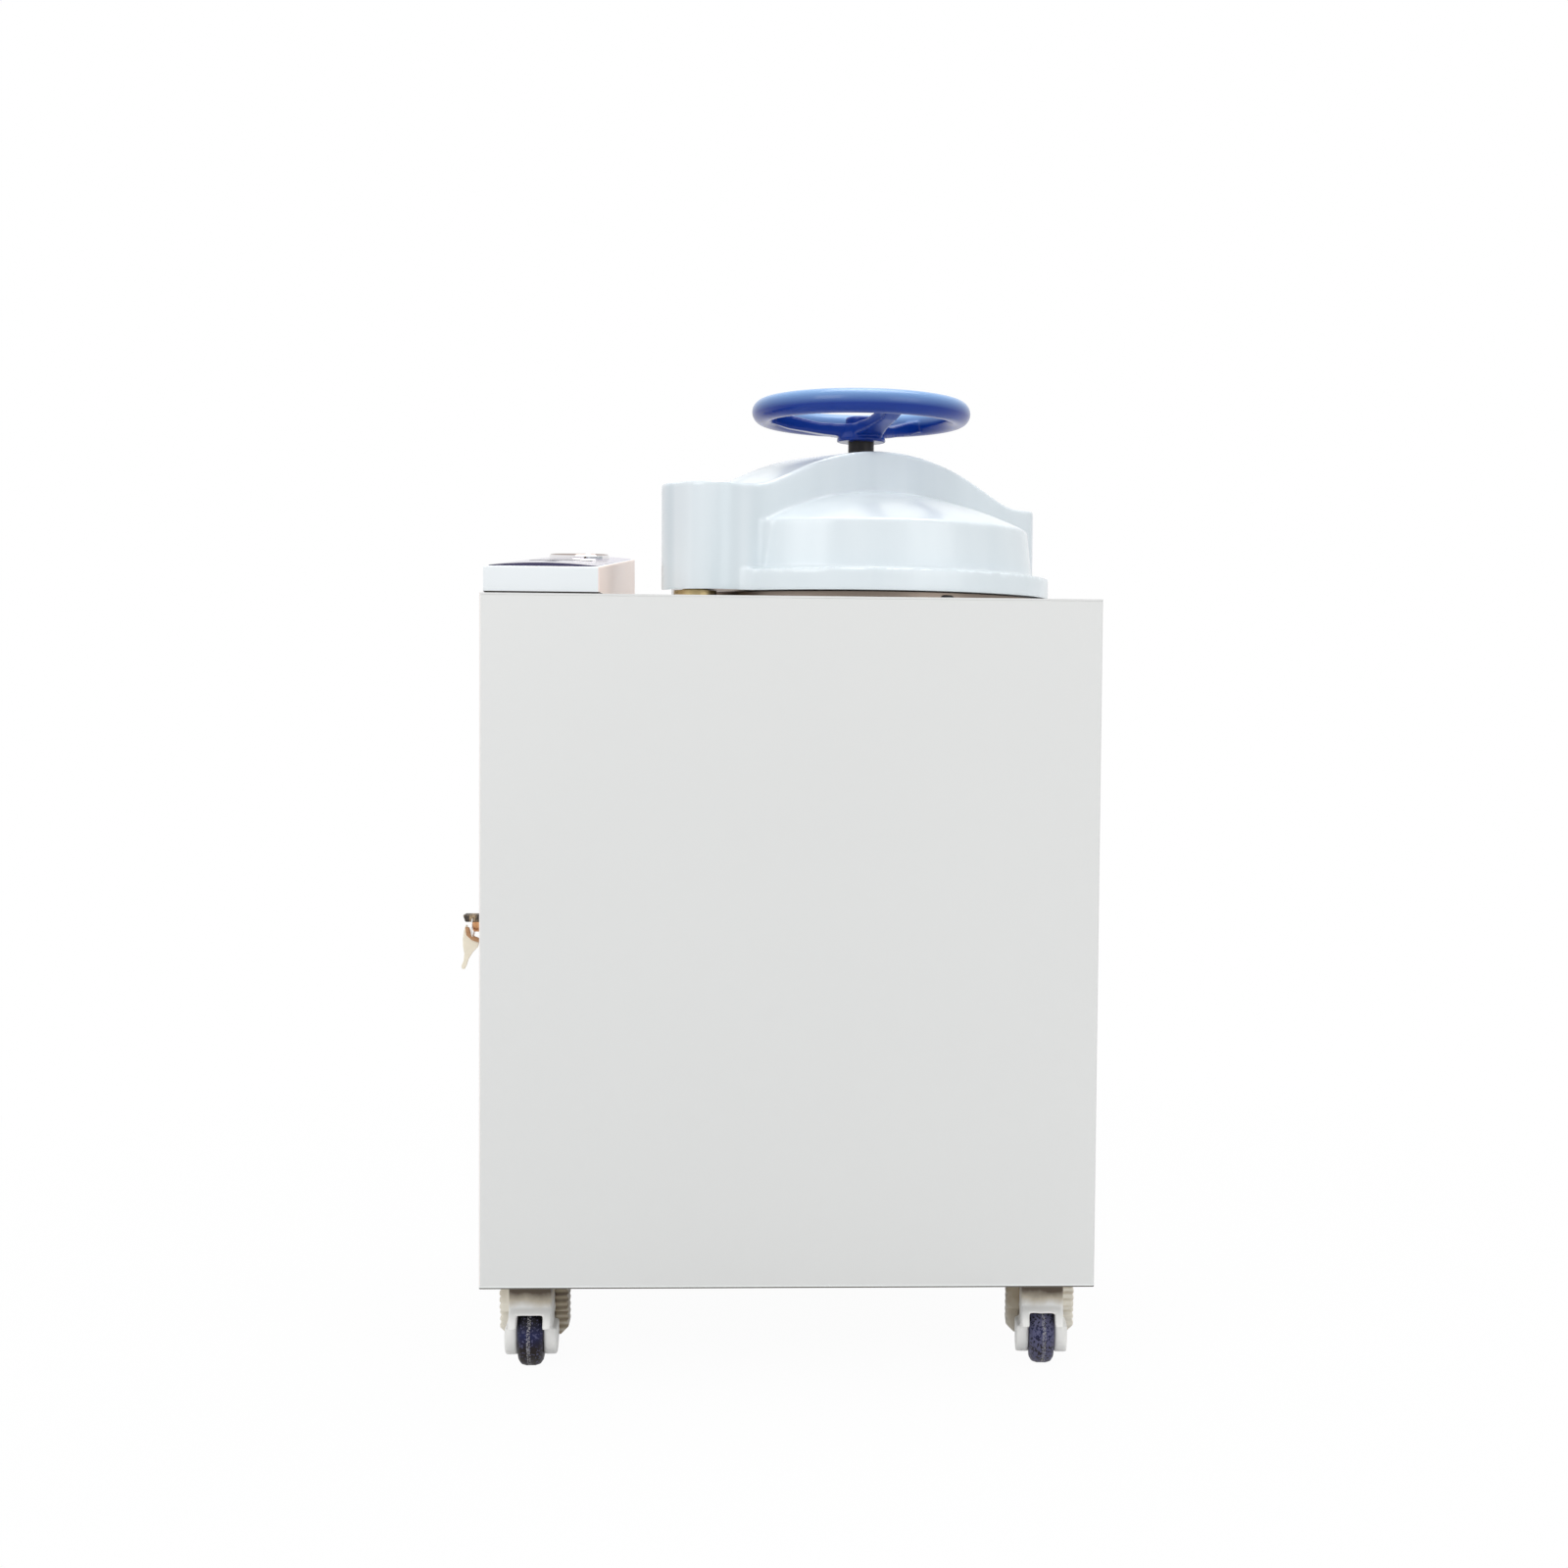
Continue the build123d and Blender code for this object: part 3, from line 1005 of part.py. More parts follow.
def power_gland():
    gland = rod_y(GLAND_X, Y1, Y1 + 5, GLAND_Z, GLAND_R)
    gland += rod_y(GLAND_X, Y1 + 5, Y1 + 22, GLAND_Z, GLAND_R * 0.8)
    gland += rod_y(GLAND_X, Y1 - 10, Y1, GLAND_Z, GLAND_R * 0.7)
    gland += rod_y(GLAND_X, Y1 - SHEET - 5, Y1 - SHEET, GLAND_Z, GLAND_R)
    return gland - rod_y(GLAND_X, Y1 - 12, Y1 + 24, GLAND_Z, GLAND_BORE_R)


# Casters, each drawn with its swivel axis on Z and its wheel in front

def caster_places():
    return [("fl", -CASTER_X, -CASTER_Y, FRONT_LEFT_YAW), ("fr", CASTER_X, -CASTER_Y, FRONT_RIGHT_YAW),
            ("rl", -CASTER_X, CASTER_Y, 0.0), ("rr", CASTER_X, CASTER_Y, 0.0)]


def caster_plates():
    plates = []
    for _, x, y, _ in caster_places():
        half = CASTER_PLATE / 2
        plate = Pos(x, y, 0) * block(-half, half, -half, half, BOTTOM - PLATE_T, BOTTOM)
        plate += post(x, y, 8, BOTTOM - PLATE_T - 3, BOTTOM - PLATE_T)
        plates.append(plate)
    return plates


def caster_fork():
    """Moulded housing: hood over the wheel, two ears with the axle, and the swivel head."""
    gap = WHEEL_W / 2 + WHEEL_GAP
    half = gap + FORK_WALL
    hood_in = WHEEL_R + HOOD_GAP
    top = CASTER_H - PLATE_T - 3 - FIT
    side = Pos(-TRAIL, WHEEL_R) * Circle(hood_in + 4)
    side += Pos(-TRAIL + 14, (WHEEL_R + 16 + top) / 2) * Rectangle(72, top - WHEEL_R - 16)
    side -= Pos(-TRAIL, (WHEEL_R + 14) / 2 - 20) * Rectangle(200, WHEEL_R + 14 + 40)
    body = Pos(-half, 0, 0) * extrude(Plane.YZ * side, 2 * half)
    boss = Pos(-TRAIL, WHEEL_R) * Circle(EAR_R) - Pos(-TRAIL, WHEEL_R + EAR_R) * Rectangle(2 * EAR_R, EAR_R)
    ear = Pos(-TRAIL, WHEEL_R) * Circle(EAR_R)
    ear += Pos(-TRAIL, WHEEL_R + EAR_R / 2) * Rectangle(2 * EAR_R, EAR_R)
    for plan, width in ((boss, EAR_W), (ear, FORK_WALL)):
        for x in (gap, -gap - width):
            body += Pos(x, 0, 0) * extrude(Plane.YZ * plan, width)
    body -= rod_x(-gap, gap, -TRAIL, WHEEL_R, hood_in)
    body -= block(-gap, gap, -TRAIL - 2 * hood_in, -TRAIL, -1, FORK_OPENING)
    body -= block(-gap, gap, -TRAIL, -TRAIL + 2 * hood_in, -1, WHEEL_R + 4)
    body += rod_x(-gap - 2, gap + 2, -TRAIL, WHEEL_R, AXLE_R)
    return body - post(0, 0, 9, top - 0.5, BOTTOM)


def front_fork():
    """Fork with the cross pins that its brake pedal rocks on."""
    half = WHEEL_W / 2 + WHEEL_GAP + FORK_WALL
    fork = caster_fork()
    for x0, x1 in ((-half - PEDAL_T + 2, -half + 2), (half - 2, half + PEDAL_T - 2)):
        fork += rod_x(x0, x1, 0, PEDAL_PIN_Z, PEDAL_PIN_R)
    return fork


def caster_wheel():
    half = WHEEL_W / 2
    side = [(AXLE_R + RUN, half), (WHEEL_R - 6, half), (WHEEL_R - 1.5, half - 3), (WHEEL_R, half - 8)]
    profile = turned(*side, *[(r, -x) for r, x in reversed(side)])
    return Pos(0, -TRAIL, WHEEL_R) * Rot(0, 90, 0) * profile


def brake_pedal():
    """Brake pedal: a ribbed yoke round the back of the housing, rocking on a cross pin."""
    inner = WHEEL_W / 2 + WHEEL_GAP + FORK_WALL + FIT
    outer = inner + PEDAL_T
    yoke = block(-outer, outer, PEDAL_FRONT, PEDAL_BACK, PEDAL_LOW, PEDAL_HIGH)
    yoke = chamfer(yoke.edges().filter_by(Axis.Y).group_by(Axis.Z)[0], PEDAL_T * 0.6)
    yoke -= block(-inner, inner, PEDAL_FRONT - 1, PEDAL_BACK - 6, PEDAL_LOW - 1, PEDAL_HIGH + 1)
    under_pin = PEDAL_PIN_Z - 2 * PEDAL_PIN_R
    yoke -= block(-outer - 1, outer + 1, PEDAL_FRONT - 1, PEDAL_PIN_R, PEDAL_LOW - 1, under_pin)
    for i in range(PEDAL_RIBS):
        z = PEDAL_LOW + PEDAL_T + i * 7.0
        for x in (-outer, outer):
            yoke -= Pos(x, 0, z) * Rot(90, 0, 0) * Cylinder(1.6, 4 * PEDAL_BACK)
    return yoke - rod_x(-outer, outer, 0, PEDAL_PIN_Z, PEDAL_PIN_R + RUN)


def placed_caster(shape, place):
    _, x, y, yaw = place
    return Pos(x, y, 0) * Rot(0, 0, yaw) * shape


# Values that pieces above share
SAFETY_OFF = JACKET_T + SAFETY_R + 5
DOOR_AXIS_X = X0 + DOOR_PIN_INSET
DOOR_AXIS_Y = Y1 - RETURN_D - DOOR_GAP - DOOR_PIN_INSET
HUB_Z = FLANGE_TOP + 5
LID_Z = FLANGE_TOP + FIT + SEAL_PROUD
SEAL_GROOVE = 6.0
GLASS_T = 1.6
DIAL_PIN_R = 1.2
KEY_EYE_X = X0 - KEY_OUT + BOW_R
KEY_REACH = X0 - KEY_EYE_X + (SPARE_KEY_L + BOW_R / 2) * sin(radians(SPARE_KEY_LEAN)) + 2.9
RING_R = 9.0
RING_WIRE = 0.8
RING_Y = LOCK_Y - 6.7
RING_Z = LOCK_Z - 6.0
SPARE_Z = RING_Z - RING_R - 1.5
TOGGLE_Y = IN_Y1 - BOARD_STANDOFF - 50
TOGGLE_Z = BOARD_Z + 51
PEDAL_FRONT = -1.0 - PEDAL_PIN_R
PEDAL_BACK = 33.0
PEDAL_LOW = 21.0
PEDAL_HIGH = 78.0
PEDAL_RIBS = 6


def parts():
    """Every sub-part by name, in the working frame."""
    made = {
        "chassis": chassis(),
        "top_plate": top_plate(),
        "front_panel": channel(-1),
        "right_panel": right_panel(),
        "rear_panel": rear_panel(),
        "panel_screws": panel_screws(),
        "deck_plate": deck_plate(),
        "chamber_vessel": chamber_vessel(),
        "chamber_flange": chamber_flange(),
        "insulation_jacket": insulation_jacket(),
        "vessel_stand": vessel_stand(),
        "heater_element": heater_element(),
        "rack_plate": rack_plate(),
        "probes": probes(),
        "basket": basket(),
        "basket_bail": basket_bail(),
        "lid_cover": lid_cover(),
        "lid_beam": lid_beam(),
        "hinge_pillar": hinge_pillar(),
        "catch_post": catch_post(),
        "pressure_lid": pressure_lid(),
        "lid_gasket": lid_gasket(),
        "spindle_nut": spindle_nut(),
        "spindle": spindle(),
        "handwheel": handwheel(),
        "wheel_cap": wheel_cap(),
        "service_door": service_door(),
        "lock_body": lock_body(),
        "lock_key": lock_key(),
        "key_ring": key_ring(),
        "spare_key": spare_key(),
        "control_housing": control_housing(),
        "control_overlay": control_overlay(),
        "gauge_case": gauge_case(),
        "gauge_glass": gauge_glass(),
        "gauge_pointer": gauge_pointer(),
        "pipework": pipework(),
        "drain_valve": drain_valve(),
        "drain_lever": drain_lever(),
        "solenoid_valve": solenoid_valve(),
        "safety_valve": safety_valve(),
        "collecting_bottle": collecting_bottle(),
        "controller_board": controller_board(),
        "breaker_body": breaker_body(),
        "breaker_toggle": breaker_toggle(),
        "power_gland": power_gland(),
        "caster_plates": caster_plates(),
    }
    for i, y in enumerate(BUTTON_Y):
        made[f"button_{i + 1}"] = button(y)
    for place in caster_places():
        name = place[0]
        front = name.startswith("f")
        made[f"caster_fork_{name}"] = placed_caster(front_fork() if front else caster_fork(), place)
        made[f"caster_wheel_{name}"] = placed_caster(caster_wheel(), place)
        if front:
            made[f"brake_pedal_{name}"] = placed_caster(brake_pedal(), place)
    return made


# The finished frame's origin is the middle of the whole object's footprint, on the floor.
SHIFT_X = (KEY_REACH - SCREW_H) / 2
SHIFT_Y = -SPIGOT_OUT / 2


def main():
    os.makedirs("parts", exist_ok=True)
    to_finished_frame = Pos(SHIFT_X, SHIFT_Y, 0)
    for name, shape in parts().items():
        solids = shape if isinstance(shape, list) else [shape]
        moved = [to_finished_frame * solid for solid in solids]
        export_step(moved[0] if len(moved) == 1 else Compound(children=moved), f"parts/{name}.step")


if __name__ == "__main__":
    main()
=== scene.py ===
from math import atan2, cos, degrees, pi, radians, sin, sqrt, tan

import bpy
from mathutils import Matrix, Vector


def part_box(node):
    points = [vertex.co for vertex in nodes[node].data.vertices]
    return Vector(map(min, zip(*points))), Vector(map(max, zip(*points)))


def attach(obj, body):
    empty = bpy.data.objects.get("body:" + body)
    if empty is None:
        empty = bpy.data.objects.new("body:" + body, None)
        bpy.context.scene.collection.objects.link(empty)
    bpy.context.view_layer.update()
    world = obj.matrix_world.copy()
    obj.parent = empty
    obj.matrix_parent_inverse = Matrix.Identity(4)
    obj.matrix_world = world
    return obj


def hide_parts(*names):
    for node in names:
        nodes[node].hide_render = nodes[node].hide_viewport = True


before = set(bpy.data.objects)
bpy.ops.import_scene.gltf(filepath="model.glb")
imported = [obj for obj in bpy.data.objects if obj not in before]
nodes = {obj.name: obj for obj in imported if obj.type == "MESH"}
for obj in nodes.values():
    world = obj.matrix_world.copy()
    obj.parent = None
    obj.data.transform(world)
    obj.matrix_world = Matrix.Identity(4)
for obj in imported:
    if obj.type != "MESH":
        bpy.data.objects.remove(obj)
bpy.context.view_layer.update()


# The camera stands about two metres in front of the machine, at the height of its top plate's front
# edge, and looks a few degrees to the right and down. The machine stands left of the lens axis.
yaw, tip, roll = 0.0459, -0.0433, 0.009
level, across = Vector((sin(yaw), cos(yaw), 0)), Vector((cos(yaw), -sin(yaw), 0))
look = level * cos(tip) + Vector((0, 0, sin(tip)))
above = Vector((0, 0, cos(tip))) - level * sin(tip)
side, head = across * cos(roll) + above * sin(roll), above * cos(roll) - across * sin(roll)
bpy.ops.object.camera_add(location=(0.0100, -2.2874, 0.6838))
camera = bpy.context.object
camera.rotation_euler = Matrix((side, head, -look)).transposed().to_euler()
camera.data.lens = 47.64
camera.data.shift_x = -0.066
bpy.context.scene.camera = camera
bpy.context.scene.view_settings.view_transform = "Standard"


# Shader sockets with arithmetic, and finishes that are wired as they are written. Every pattern below
# is placed by Object coordinates, in metres.
class Wire:
    """A socket of a finish, to add to, scale or take from as a number."""

    def __init__(self, finish, socket):
        self.finish, self.socket = finish, socket

    def math(self, operation, *others, swap=False):
        values = [self, *others]
        if swap:
            values.reverse()
        return self.finish.node("Math", {"operation": operation}, dict(enumerate(values)))

    def __add__(self, other):
        return self.math("ADD", other)

    def __sub__(self, other):
        return self.math("SUBTRACT", other)

    def __rsub__(self, other):
        return self.math("SUBTRACT", other, swap=True)

    def __mul__(self, other):
        return self.math("MULTIPLY", other)

    def __lt__(self, other):
        return self.math("LESS_THAN", other)

    def __gt__(self, other):
        return self.math("GREATER_THAN", other)

    __radd__ = __add__
    __rmul__ = __mul__


class Finish:
    """A material for one kind of surface on the machine."""

    def __init__(self, name, **plain):
        self.material = bpy.data.materials.new(name)
        self.material.use_nodes = True
        self.tree = self.material.node_tree
        self.shader = self.tree.nodes["Principled BSDF"]
        self.place = self.node("TexCoord", {}, {}, "Object")
        for key, value in plain.items():
            self.feed(self.shader.inputs[key.replace("_", " ").title()], value)

    def feed(self, socket, value):
        if isinstance(value, Wire):
            self.tree.links.new(value.socket, socket)
        else:
            socket.default_value = value

    def node(self, kind, settings, inputs, out=0):
        made = self.tree.nodes.new("ShaderNode" + kind)
        for key, value in settings.items():
            if key == "stops":
                for i, (spot, tone) in enumerate(value):
                    stop = made.color_ramp.elements[i] if i < 2 else made.color_ramp.elements.new(spot)
                    stop.position, stop.color = spot, tone
            else:
                setattr(made, key, value)
        for key, value in inputs.items():
            self.feed(made.inputs[key], value)
        return Wire(self, made.outputs[out])

    def noise(self, scale, detail=2.0, stretch=(1, 1, 1)):
        spot = self.node("Mapping", {}, {"Vector": self.place, "Scale": stretch})
        return self.node("TexNoise", {}, {"Vector": spot, "Scale": scale, "Detail": detail}, "Fac")

    def spread(self, value, low, high, start=0.0, end=1.0):
        """Runs from start to end while the value runs from low to high."""
        inputs = {"Value": value, "From Min": low, "From Max": high, "To Min": start, "To Max": end}
        return self.node("MapRange", {}, inputs)

    def axis(self, letter):
        return self.node("SeparateXYZ", {}, {"Vector": self.place}, letter)

    def blend(self, share, low, high):
        return self.node("Mix", {"data_type": "RGBA"}, {0: share, 6: low, 7: high}, 2)

    def ramp(self, share, *stops):
        return self.node("ValToRGB", {"stops": stops}, {0: share})

    def colour(self, value):
        self.feed(self.shader.inputs["Base Color"], value)

    def rough(self, value):
        self.feed(self.shader.inputs["Roughness"], value)

    def bump(self, height, strength, distance):
        inputs = {"Height": height, "Strength": strength, "Distance": distance}
        lift = self.node("Bump", {}, inputs, "Normal")
        self.feed(self.shader.inputs["Normal"], lift)

    def on(self, *things):
        """Puts the finish on pieces, and on CAD nodes by name."""
        for thing in things:
            piece = nodes[thing] if isinstance(thing, str) else thing
            if not piece.material_slots:
                piece.data.materials.append(self.material)
            for place in piece.material_slots:
                place.material = self.material


# The studio is a white floor that runs into a white surround. Two large soft lamps stand in front, the
# stronger one at the upper left, a third hangs overhead, and the surround gives the rest of the light.
def seen_share(tree):
    """1 for rays that the camera, a mirror or glass sends, 0 for rays that light the object."""
    path = tree.nodes.new("ShaderNodeLightPath")
    share = path.outputs["Is Camera Ray"]
    for kind in ("Is Glossy Ray", "Is Transmission Ray"):
        most = tree.nodes.new("ShaderNodeMath")
        most.operation = "MAXIMUM"
        tree.links.new(share, most.inputs[0])
        tree.links.new(path.outputs[kind], most.inputs[1])
        share = most.outputs[0]
    return share


world = bpy.data.worlds.new("studio_surround")
world.use_nodes = True
bpy.context.scene.world = world
sky = world.node_tree
fill = sky.nodes["Background"]
fill.inputs["Color"].default_value = (0.96, 0.98, 1.0, 1)
fill.inputs["Strength"].default_value = 0.62
white = sky.nodes.new("ShaderNodeBackground")
white.inputs["Color"].default_value = (1, 1, 1, 1)
mixed = sky.nodes.new("ShaderNodeMixShader")
sky.links.new(seen_share(sky), mixed.inputs[0])
sky.links.new(fill.outputs[0], mixed.inputs[1])
sky.links.new(white.outputs[0], mixed.inputs[2])
sky.links.new(mixed.outputs[0], sky.nodes["World Output"].inputs[0])

bpy.ops.mesh.primitive_plane_add(size=60, location=(0, 20, 0))
floor = bpy.context.object
floor.name = "studio_floor"
bpy.ops.object.transform_apply()
paper = Finish("studio_paper", roughness=0.9, base_color=(0.82, 0.82, 0.82, 1))
glow = paper.tree.nodes.new("ShaderNodeEmission")
glow.inputs["Color"].default_value = (1, 1, 1, 1)
over = paper.tree.nodes.new("ShaderNodeMixShader")
reach = paper.node("VectorMath", {"operation": "LENGTH"}, {0: paper.place}, "Value")
near = paper.spread(reach, 0.4, 1.6, 0.965, 1.0)
share = paper.tree.nodes.new("ShaderNodeMath")
share.operation = "MULTIPLY"
paper.tree.links.new(seen_share(paper.tree), share.inputs[0])
paper.tree.links.new(near.socket, share.inputs[1])
paper.tree.links.new(share.outputs[0], over.inputs[0])
paper.tree.links.new(paper.shader.outputs[0], over.inputs[1])
paper.tree.links.new(glow.outputs[0], over.inputs[2])
paper.tree.links.new(over.outputs[0], paper.tree.nodes["Material Output"].inputs[0])
paper.on(floor)

studio_lamps = (((-1.9, -2.6, 2.5), 1.8, 34), ((2.2, -2.2, 1.7), 1.8, 17.5), ((0.2, 0.3, 3.0), 1.5, 32))
for spot, size, energy in studio_lamps:
    bpy.ops.object.light_add(type="AREA", location=spot)
    lamp = bpy.context.object
    lamp.data.size, lamp.data.energy = size, energy
    lamp.rotation_euler = (Vector((0, 0, 0.6)) - Vector(spot)).to_track_quat("-Z", "Y").to_euler()


# The cabinet is folded steel sheet with a pale grey powder coat: a front and a rear panel bent back at
# their sides, a fixed right panel, and a top plate whose front edge catches the light as a thin line.
def only(piece):
    bpy.ops.object.select_all(action="DESELECT")
    piece.select_set(True)
    bpy.context.view_layer.objects.active = piece


def modify(piece, kind, **settings):
    """Adds a modifier with its settings and applies it."""
    only(piece)
    change = piece.modifiers.new(kind.lower(), kind)
    for key, value in settings.items():
        setattr(change, key, value)
    bpy.ops.object.modifier_apply(modifier=change.name)


def settle(piece, smooth_angle=35):
    """Leaves a finished piece at the origin with its place in its mesh."""
    only(piece)
    bpy.ops.object.transform_apply(location=True, rotation=True, scale=True)
    if smooth_angle:
        bpy.ops.object.shade_smooth_by_angle(angle=radians(smooth_angle))


def traced(node, name):
    """A merged copy of a CAD node's mesh, to be softened into the dressed piece."""
    piece = bpy.data.objects.new(name, nodes[node].data.copy())
    bpy.context.scene.collection.objects.link(piece)
    piece.data.materials.clear()
    only(piece)
    bpy.ops.object.mode_set(mode="EDIT")
    bpy.ops.mesh.select_all(action="SELECT")
    bpy.ops.mesh.remove_doubles(threshold=0.00001)
    bpy.ops.mesh.dissolve_limited(angle_limit=radians(1))
    bpy.ops.object.mode_set(mode="OBJECT")
    return piece


def dress(piece, body, finish, *replaced, slot=None):
    """Gives a piece its finish and its body, and hides the CAD nodes that it stands for."""
    finish.on(piece)
    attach(piece, body)
    if replaced:
        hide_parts(*replaced)


coat = Finish("cabinet_coat")
sheet = coat.blend(coat.noise(2.2), (0.735, 0.735, 0.722, 1), (0.765, 0.765, 0.75, 1))
panel_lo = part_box("front_panel")[0]
left_edge_highlight, foot_light, foot_shade = 0.0014, 0.0030, 0.0014
height = coat.axis("Z")
# Painted highlight: a pale pinkish band along the front panel's left edge.
sheet = coat.blend(coat.axis("X") < panel_lo.x + left_edge_highlight, sheet, (0.92, 0.87, 0.84, 1))
# At the foot, a painted light line sits over a thin painted shade line at the very bottom edge.
sheet = coat.blend(height < panel_lo.z + foot_light, sheet, (0.86, 0.88, 0.86, 1))
coat.colour(coat.blend(height < panel_lo.z + foot_shade, sheet, (0.14, 0.13, 0.115, 1)))
coat.rough(0.36 + 0.10 * coat.noise(45))
coat.bump(coat.noise(1100, 3), 0.05, 0.0003)
for node in ("front_panel", "rear_panel", "right_panel", "service_door", "top_plate"):
    softened = traced(node, node + "_coated")
    edge = 0.0009 if node == "top_plate" else 0.0005
    modify(softened, "BEVEL", width=edge, segments=3, limit_method="ANGLE", angle_limit=radians(50))
    settle(softened)
    body = "door_leaf" if node == "service_door" else "cabinet"
    dress(softened, body, coat, node, slot="cabinet_paint")

frame_coat = Finish("chassis_coat")
frame_coat.colour(frame_coat.blend(frame_coat.noise(30), (0.30, 0.31, 0.32, 1), (0.36, 0.37, 0.38, 1)))
frame_coat.rough(0.5 + 0.15 * frame_coat.noise(120))
frame_coat.bump(frame_coat.noise(900), 0.08, 0.0003)
frame_coat.on("chassis")


# The lid's cover is one glossy moulding in pale bluish white: a low skirt, a drum with a shallow dome,
# and a raised block over the beam with a hump in its middle. All its corners run into each other softly.
def flat_shape(name, points, thickness):
    """A plate from an outline of (x, y) points, standing from z 0 up to its thickness."""
    line = bpy.data.curves.new(name, "CURVE")
    line.dimensions, line.fill_mode = "2D", "BOTH"
    run = line.splines.new("POLY")
    run.points.add(len(points) - 1)
    for point, (x, y) in zip(run.points, points):
        point.co = (x, y, 0, 1)
    run.use_cyclic_u = True
    line.extrude = thickness / 2
    piece = bpy.data.objects.new(name, line)
    bpy.context.scene.collection.objects.link(piece)
    only(piece)
    bpy.ops.object.convert(target="MESH")
    piece = bpy.context.object
    bpy.ops.object.mode_set(mode="EDIT")
    bpy.ops.mesh.select_all(action="SELECT")
    bpy.ops.mesh.remove_doubles(threshold=0.00001)
    bpy.ops.mesh.normals_make_consistent(inside=False)
    bpy.ops.transform.translate(value=(0, 0, thickness / 2))
    bpy.ops.object.mode_set(mode="OBJECT")
    return piece


def arc(centre, radius, start, end, steps):
    """Points on an arc, in degrees, from start to end."""
    turns = [radians(start + (end - start) * i / steps) for i in range(steps + 1)]
    return [(centre[0] + radius * cos(t), centre[1] + radius * sin(t)) for t in turns]


def turned_shape(name, outline, steps=128):
    """A round piece from half an outline of (radius, height) points, spun about Z."""
    mesh = bpy.data.meshes.new(name)
    mesh.from_pydata([(r, 0, z) for r, z in outline], [(i, i + 1) for i in range(len(outline) - 1)], [])
    piece = bpy.data.objects.new(name, mesh)
    bpy.context.scene.collection.objects.link(piece)
    modify(piece, "SCREW", angle=2 * pi, steps=steps, render_steps=steps, use_merge_vertices=True,
           merge_threshold=0.00002, use_normal_calculate=True)
    only(piece)
    bpy.ops.object.mode_set(mode="EDIT")
    bpy.ops.mesh.select_all(action="SELECT")
    bpy.ops.mesh.remove_doubles(threshold=0.00002)
    bpy.ops.mesh.normals_make_consistent(inside=False)
    bpy.ops.object.mode_set(mode="OBJECT")
    return piece


def carve(piece, other, how="DIFFERENCE", solver="EXACT"):
    """Cuts one piece with another, or keeps what both share, and throws the other away."""
    modify(piece, "BOOLEAN", operation=how, object=other, solver=solver)
    bpy.data.objects.remove(other)


def joined(pieces, name):
    """Makes one piece of several."""
    bpy.ops.object.select_all(action="DESELECT")
    for piece in pieces:
        piece.select_set(True)
    bpy.context.view_layer.objects.active = pieces[0]
    bpy.ops.object.join()
    whole = bpy.context.object
    whole.name = name
    return whole


def melt(pieces, name, grain, rounds):
    """Joins overlapping pieces into one moulding whose inside corners are softened."""
    whole = joined(pieces, name)
    modify(whole, "REMESH", mode="VOXEL", voxel_size=grain)
    modify(whole, "SMOOTH", factor=0.5, iterations=rounds)
    return whole


def shifted(piece, move, turn=0.0):
    """Turns a piece about Z and moves it, in its mesh."""
    piece.data.transform(Matrix.Translation(move) @ Matrix.Rotation(turn, 4, "Z"))
    return piece


def middle(node):
    """The middle of a CAD node's box, as x, y and z."""
    return [(lo + hi) / 2 for lo, hi in zip(*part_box(node))]


chamber = Vector((*middle("chamber_flange")[:2], 0))
plate_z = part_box("chamber_flange")[0].z
beam_turn = radians(41)
half, left, right, nose_r, tail_r = 0.048, -0.255, 0.241, 0.025, 0.040
right_end = arc((right - nose_r, half - nose_r), nose_r, 0, 90, 8)
left_end = arc((left + tail_r, half - tail_r), tail_r, 90, 180, 12)


def cover_outline(r_disc, corner):
    """Plan of the round lid with the block across it, with filled inside corners."""
    a, b = sqrt((r_disc + corner) ** 2 - (half + corner) ** 2), half + corner
    lean = degrees(atan2(b, a))
    top = right_end + arc((a, b), corner, 270, 180 + lean, 8) + arc((0, 0), r_disc, lean, 180 - lean, 64)
    top += arc((-a, b), corner, -lean, -90, 8) + left_end
    return top + [(x, -y) for x, y in reversed(top)]


def back_height(a):
    """Height of the block's back over the top plate, along the beam."""
    crown, crown_a, crown_r, hollow_r, low, steep = 0.1665, 0.005, 0.330, 0.098, 0.1183, radians(22.5)
    run = (crown_r + hollow_r) * sin(steep)
    run += (crown - low - (crown_r + hollow_r) * (1 - cos(steep))) / tan(steep)
    a = abs(a - crown_a)
    if a >= run:
        return low
    if a > run - hollow_r * sin(steep):
        return low + hollow_r - sqrt(hollow_r ** 2 - (run - a) ** 2)
    if a > crown_r * sin(steep):
        return low + hollow_r * (1 - cos(steep)) + (run - hollow_r * sin(steep) - a) * tan(steep)
    return crown - crown_r + sqrt(crown_r ** 2 - a ** 2)


foot, ledge, shoulder, fillet = 0.0085, 0.0322, 0.083, 0.018
drum_r, drum_foot_r, skirt_r, skirt_h, cap_rise = 0.1815, 0.187, 0.2048, 0.0237, 0.0427
cap_r = (drum_r ** 2 + cap_rise ** 2) / (2 * cap_rise)
dome_r = [drum_r * i / 24 for i in range(25)]
dome = [(r, shoulder + cap_rise - cap_r + sqrt(cap_r ** 2 - r ** 2)) for r in dome_r]
drum = turned_shape("cover_drum", dome + [(drum_foot_r, ledge), (drum_foot_r, foot), (0, foot)])
skirt = flat_shape("cover_skirt", cover_outline(skirt_r, fillet), skirt_h)
shifted(skirt, (0, 0, foot))
wall = flat_shape("cover_wall", cover_outline(drum_r, fillet), shoulder - foot)
shifted(wall, (0, 0, foot))
beam_spots = [left + (right - left) * i / 120 for i in range(121)]
back = [(a, back_height(a)) for a in beam_spots]
block = flat_shape("cover_block", [(left, foot)] + back + [(right, foot)], 2 * half)
block.data.transform(Matrix.Rotation(pi / 2, 4, "X"))
shifted(block, (0, half, 0))
ends = right_end + left_end
plan = flat_shape("cover_plan", ends + [(x, -y) for x, y in reversed(ends)], 0.2)
carve(block, plan, "INTERSECT")
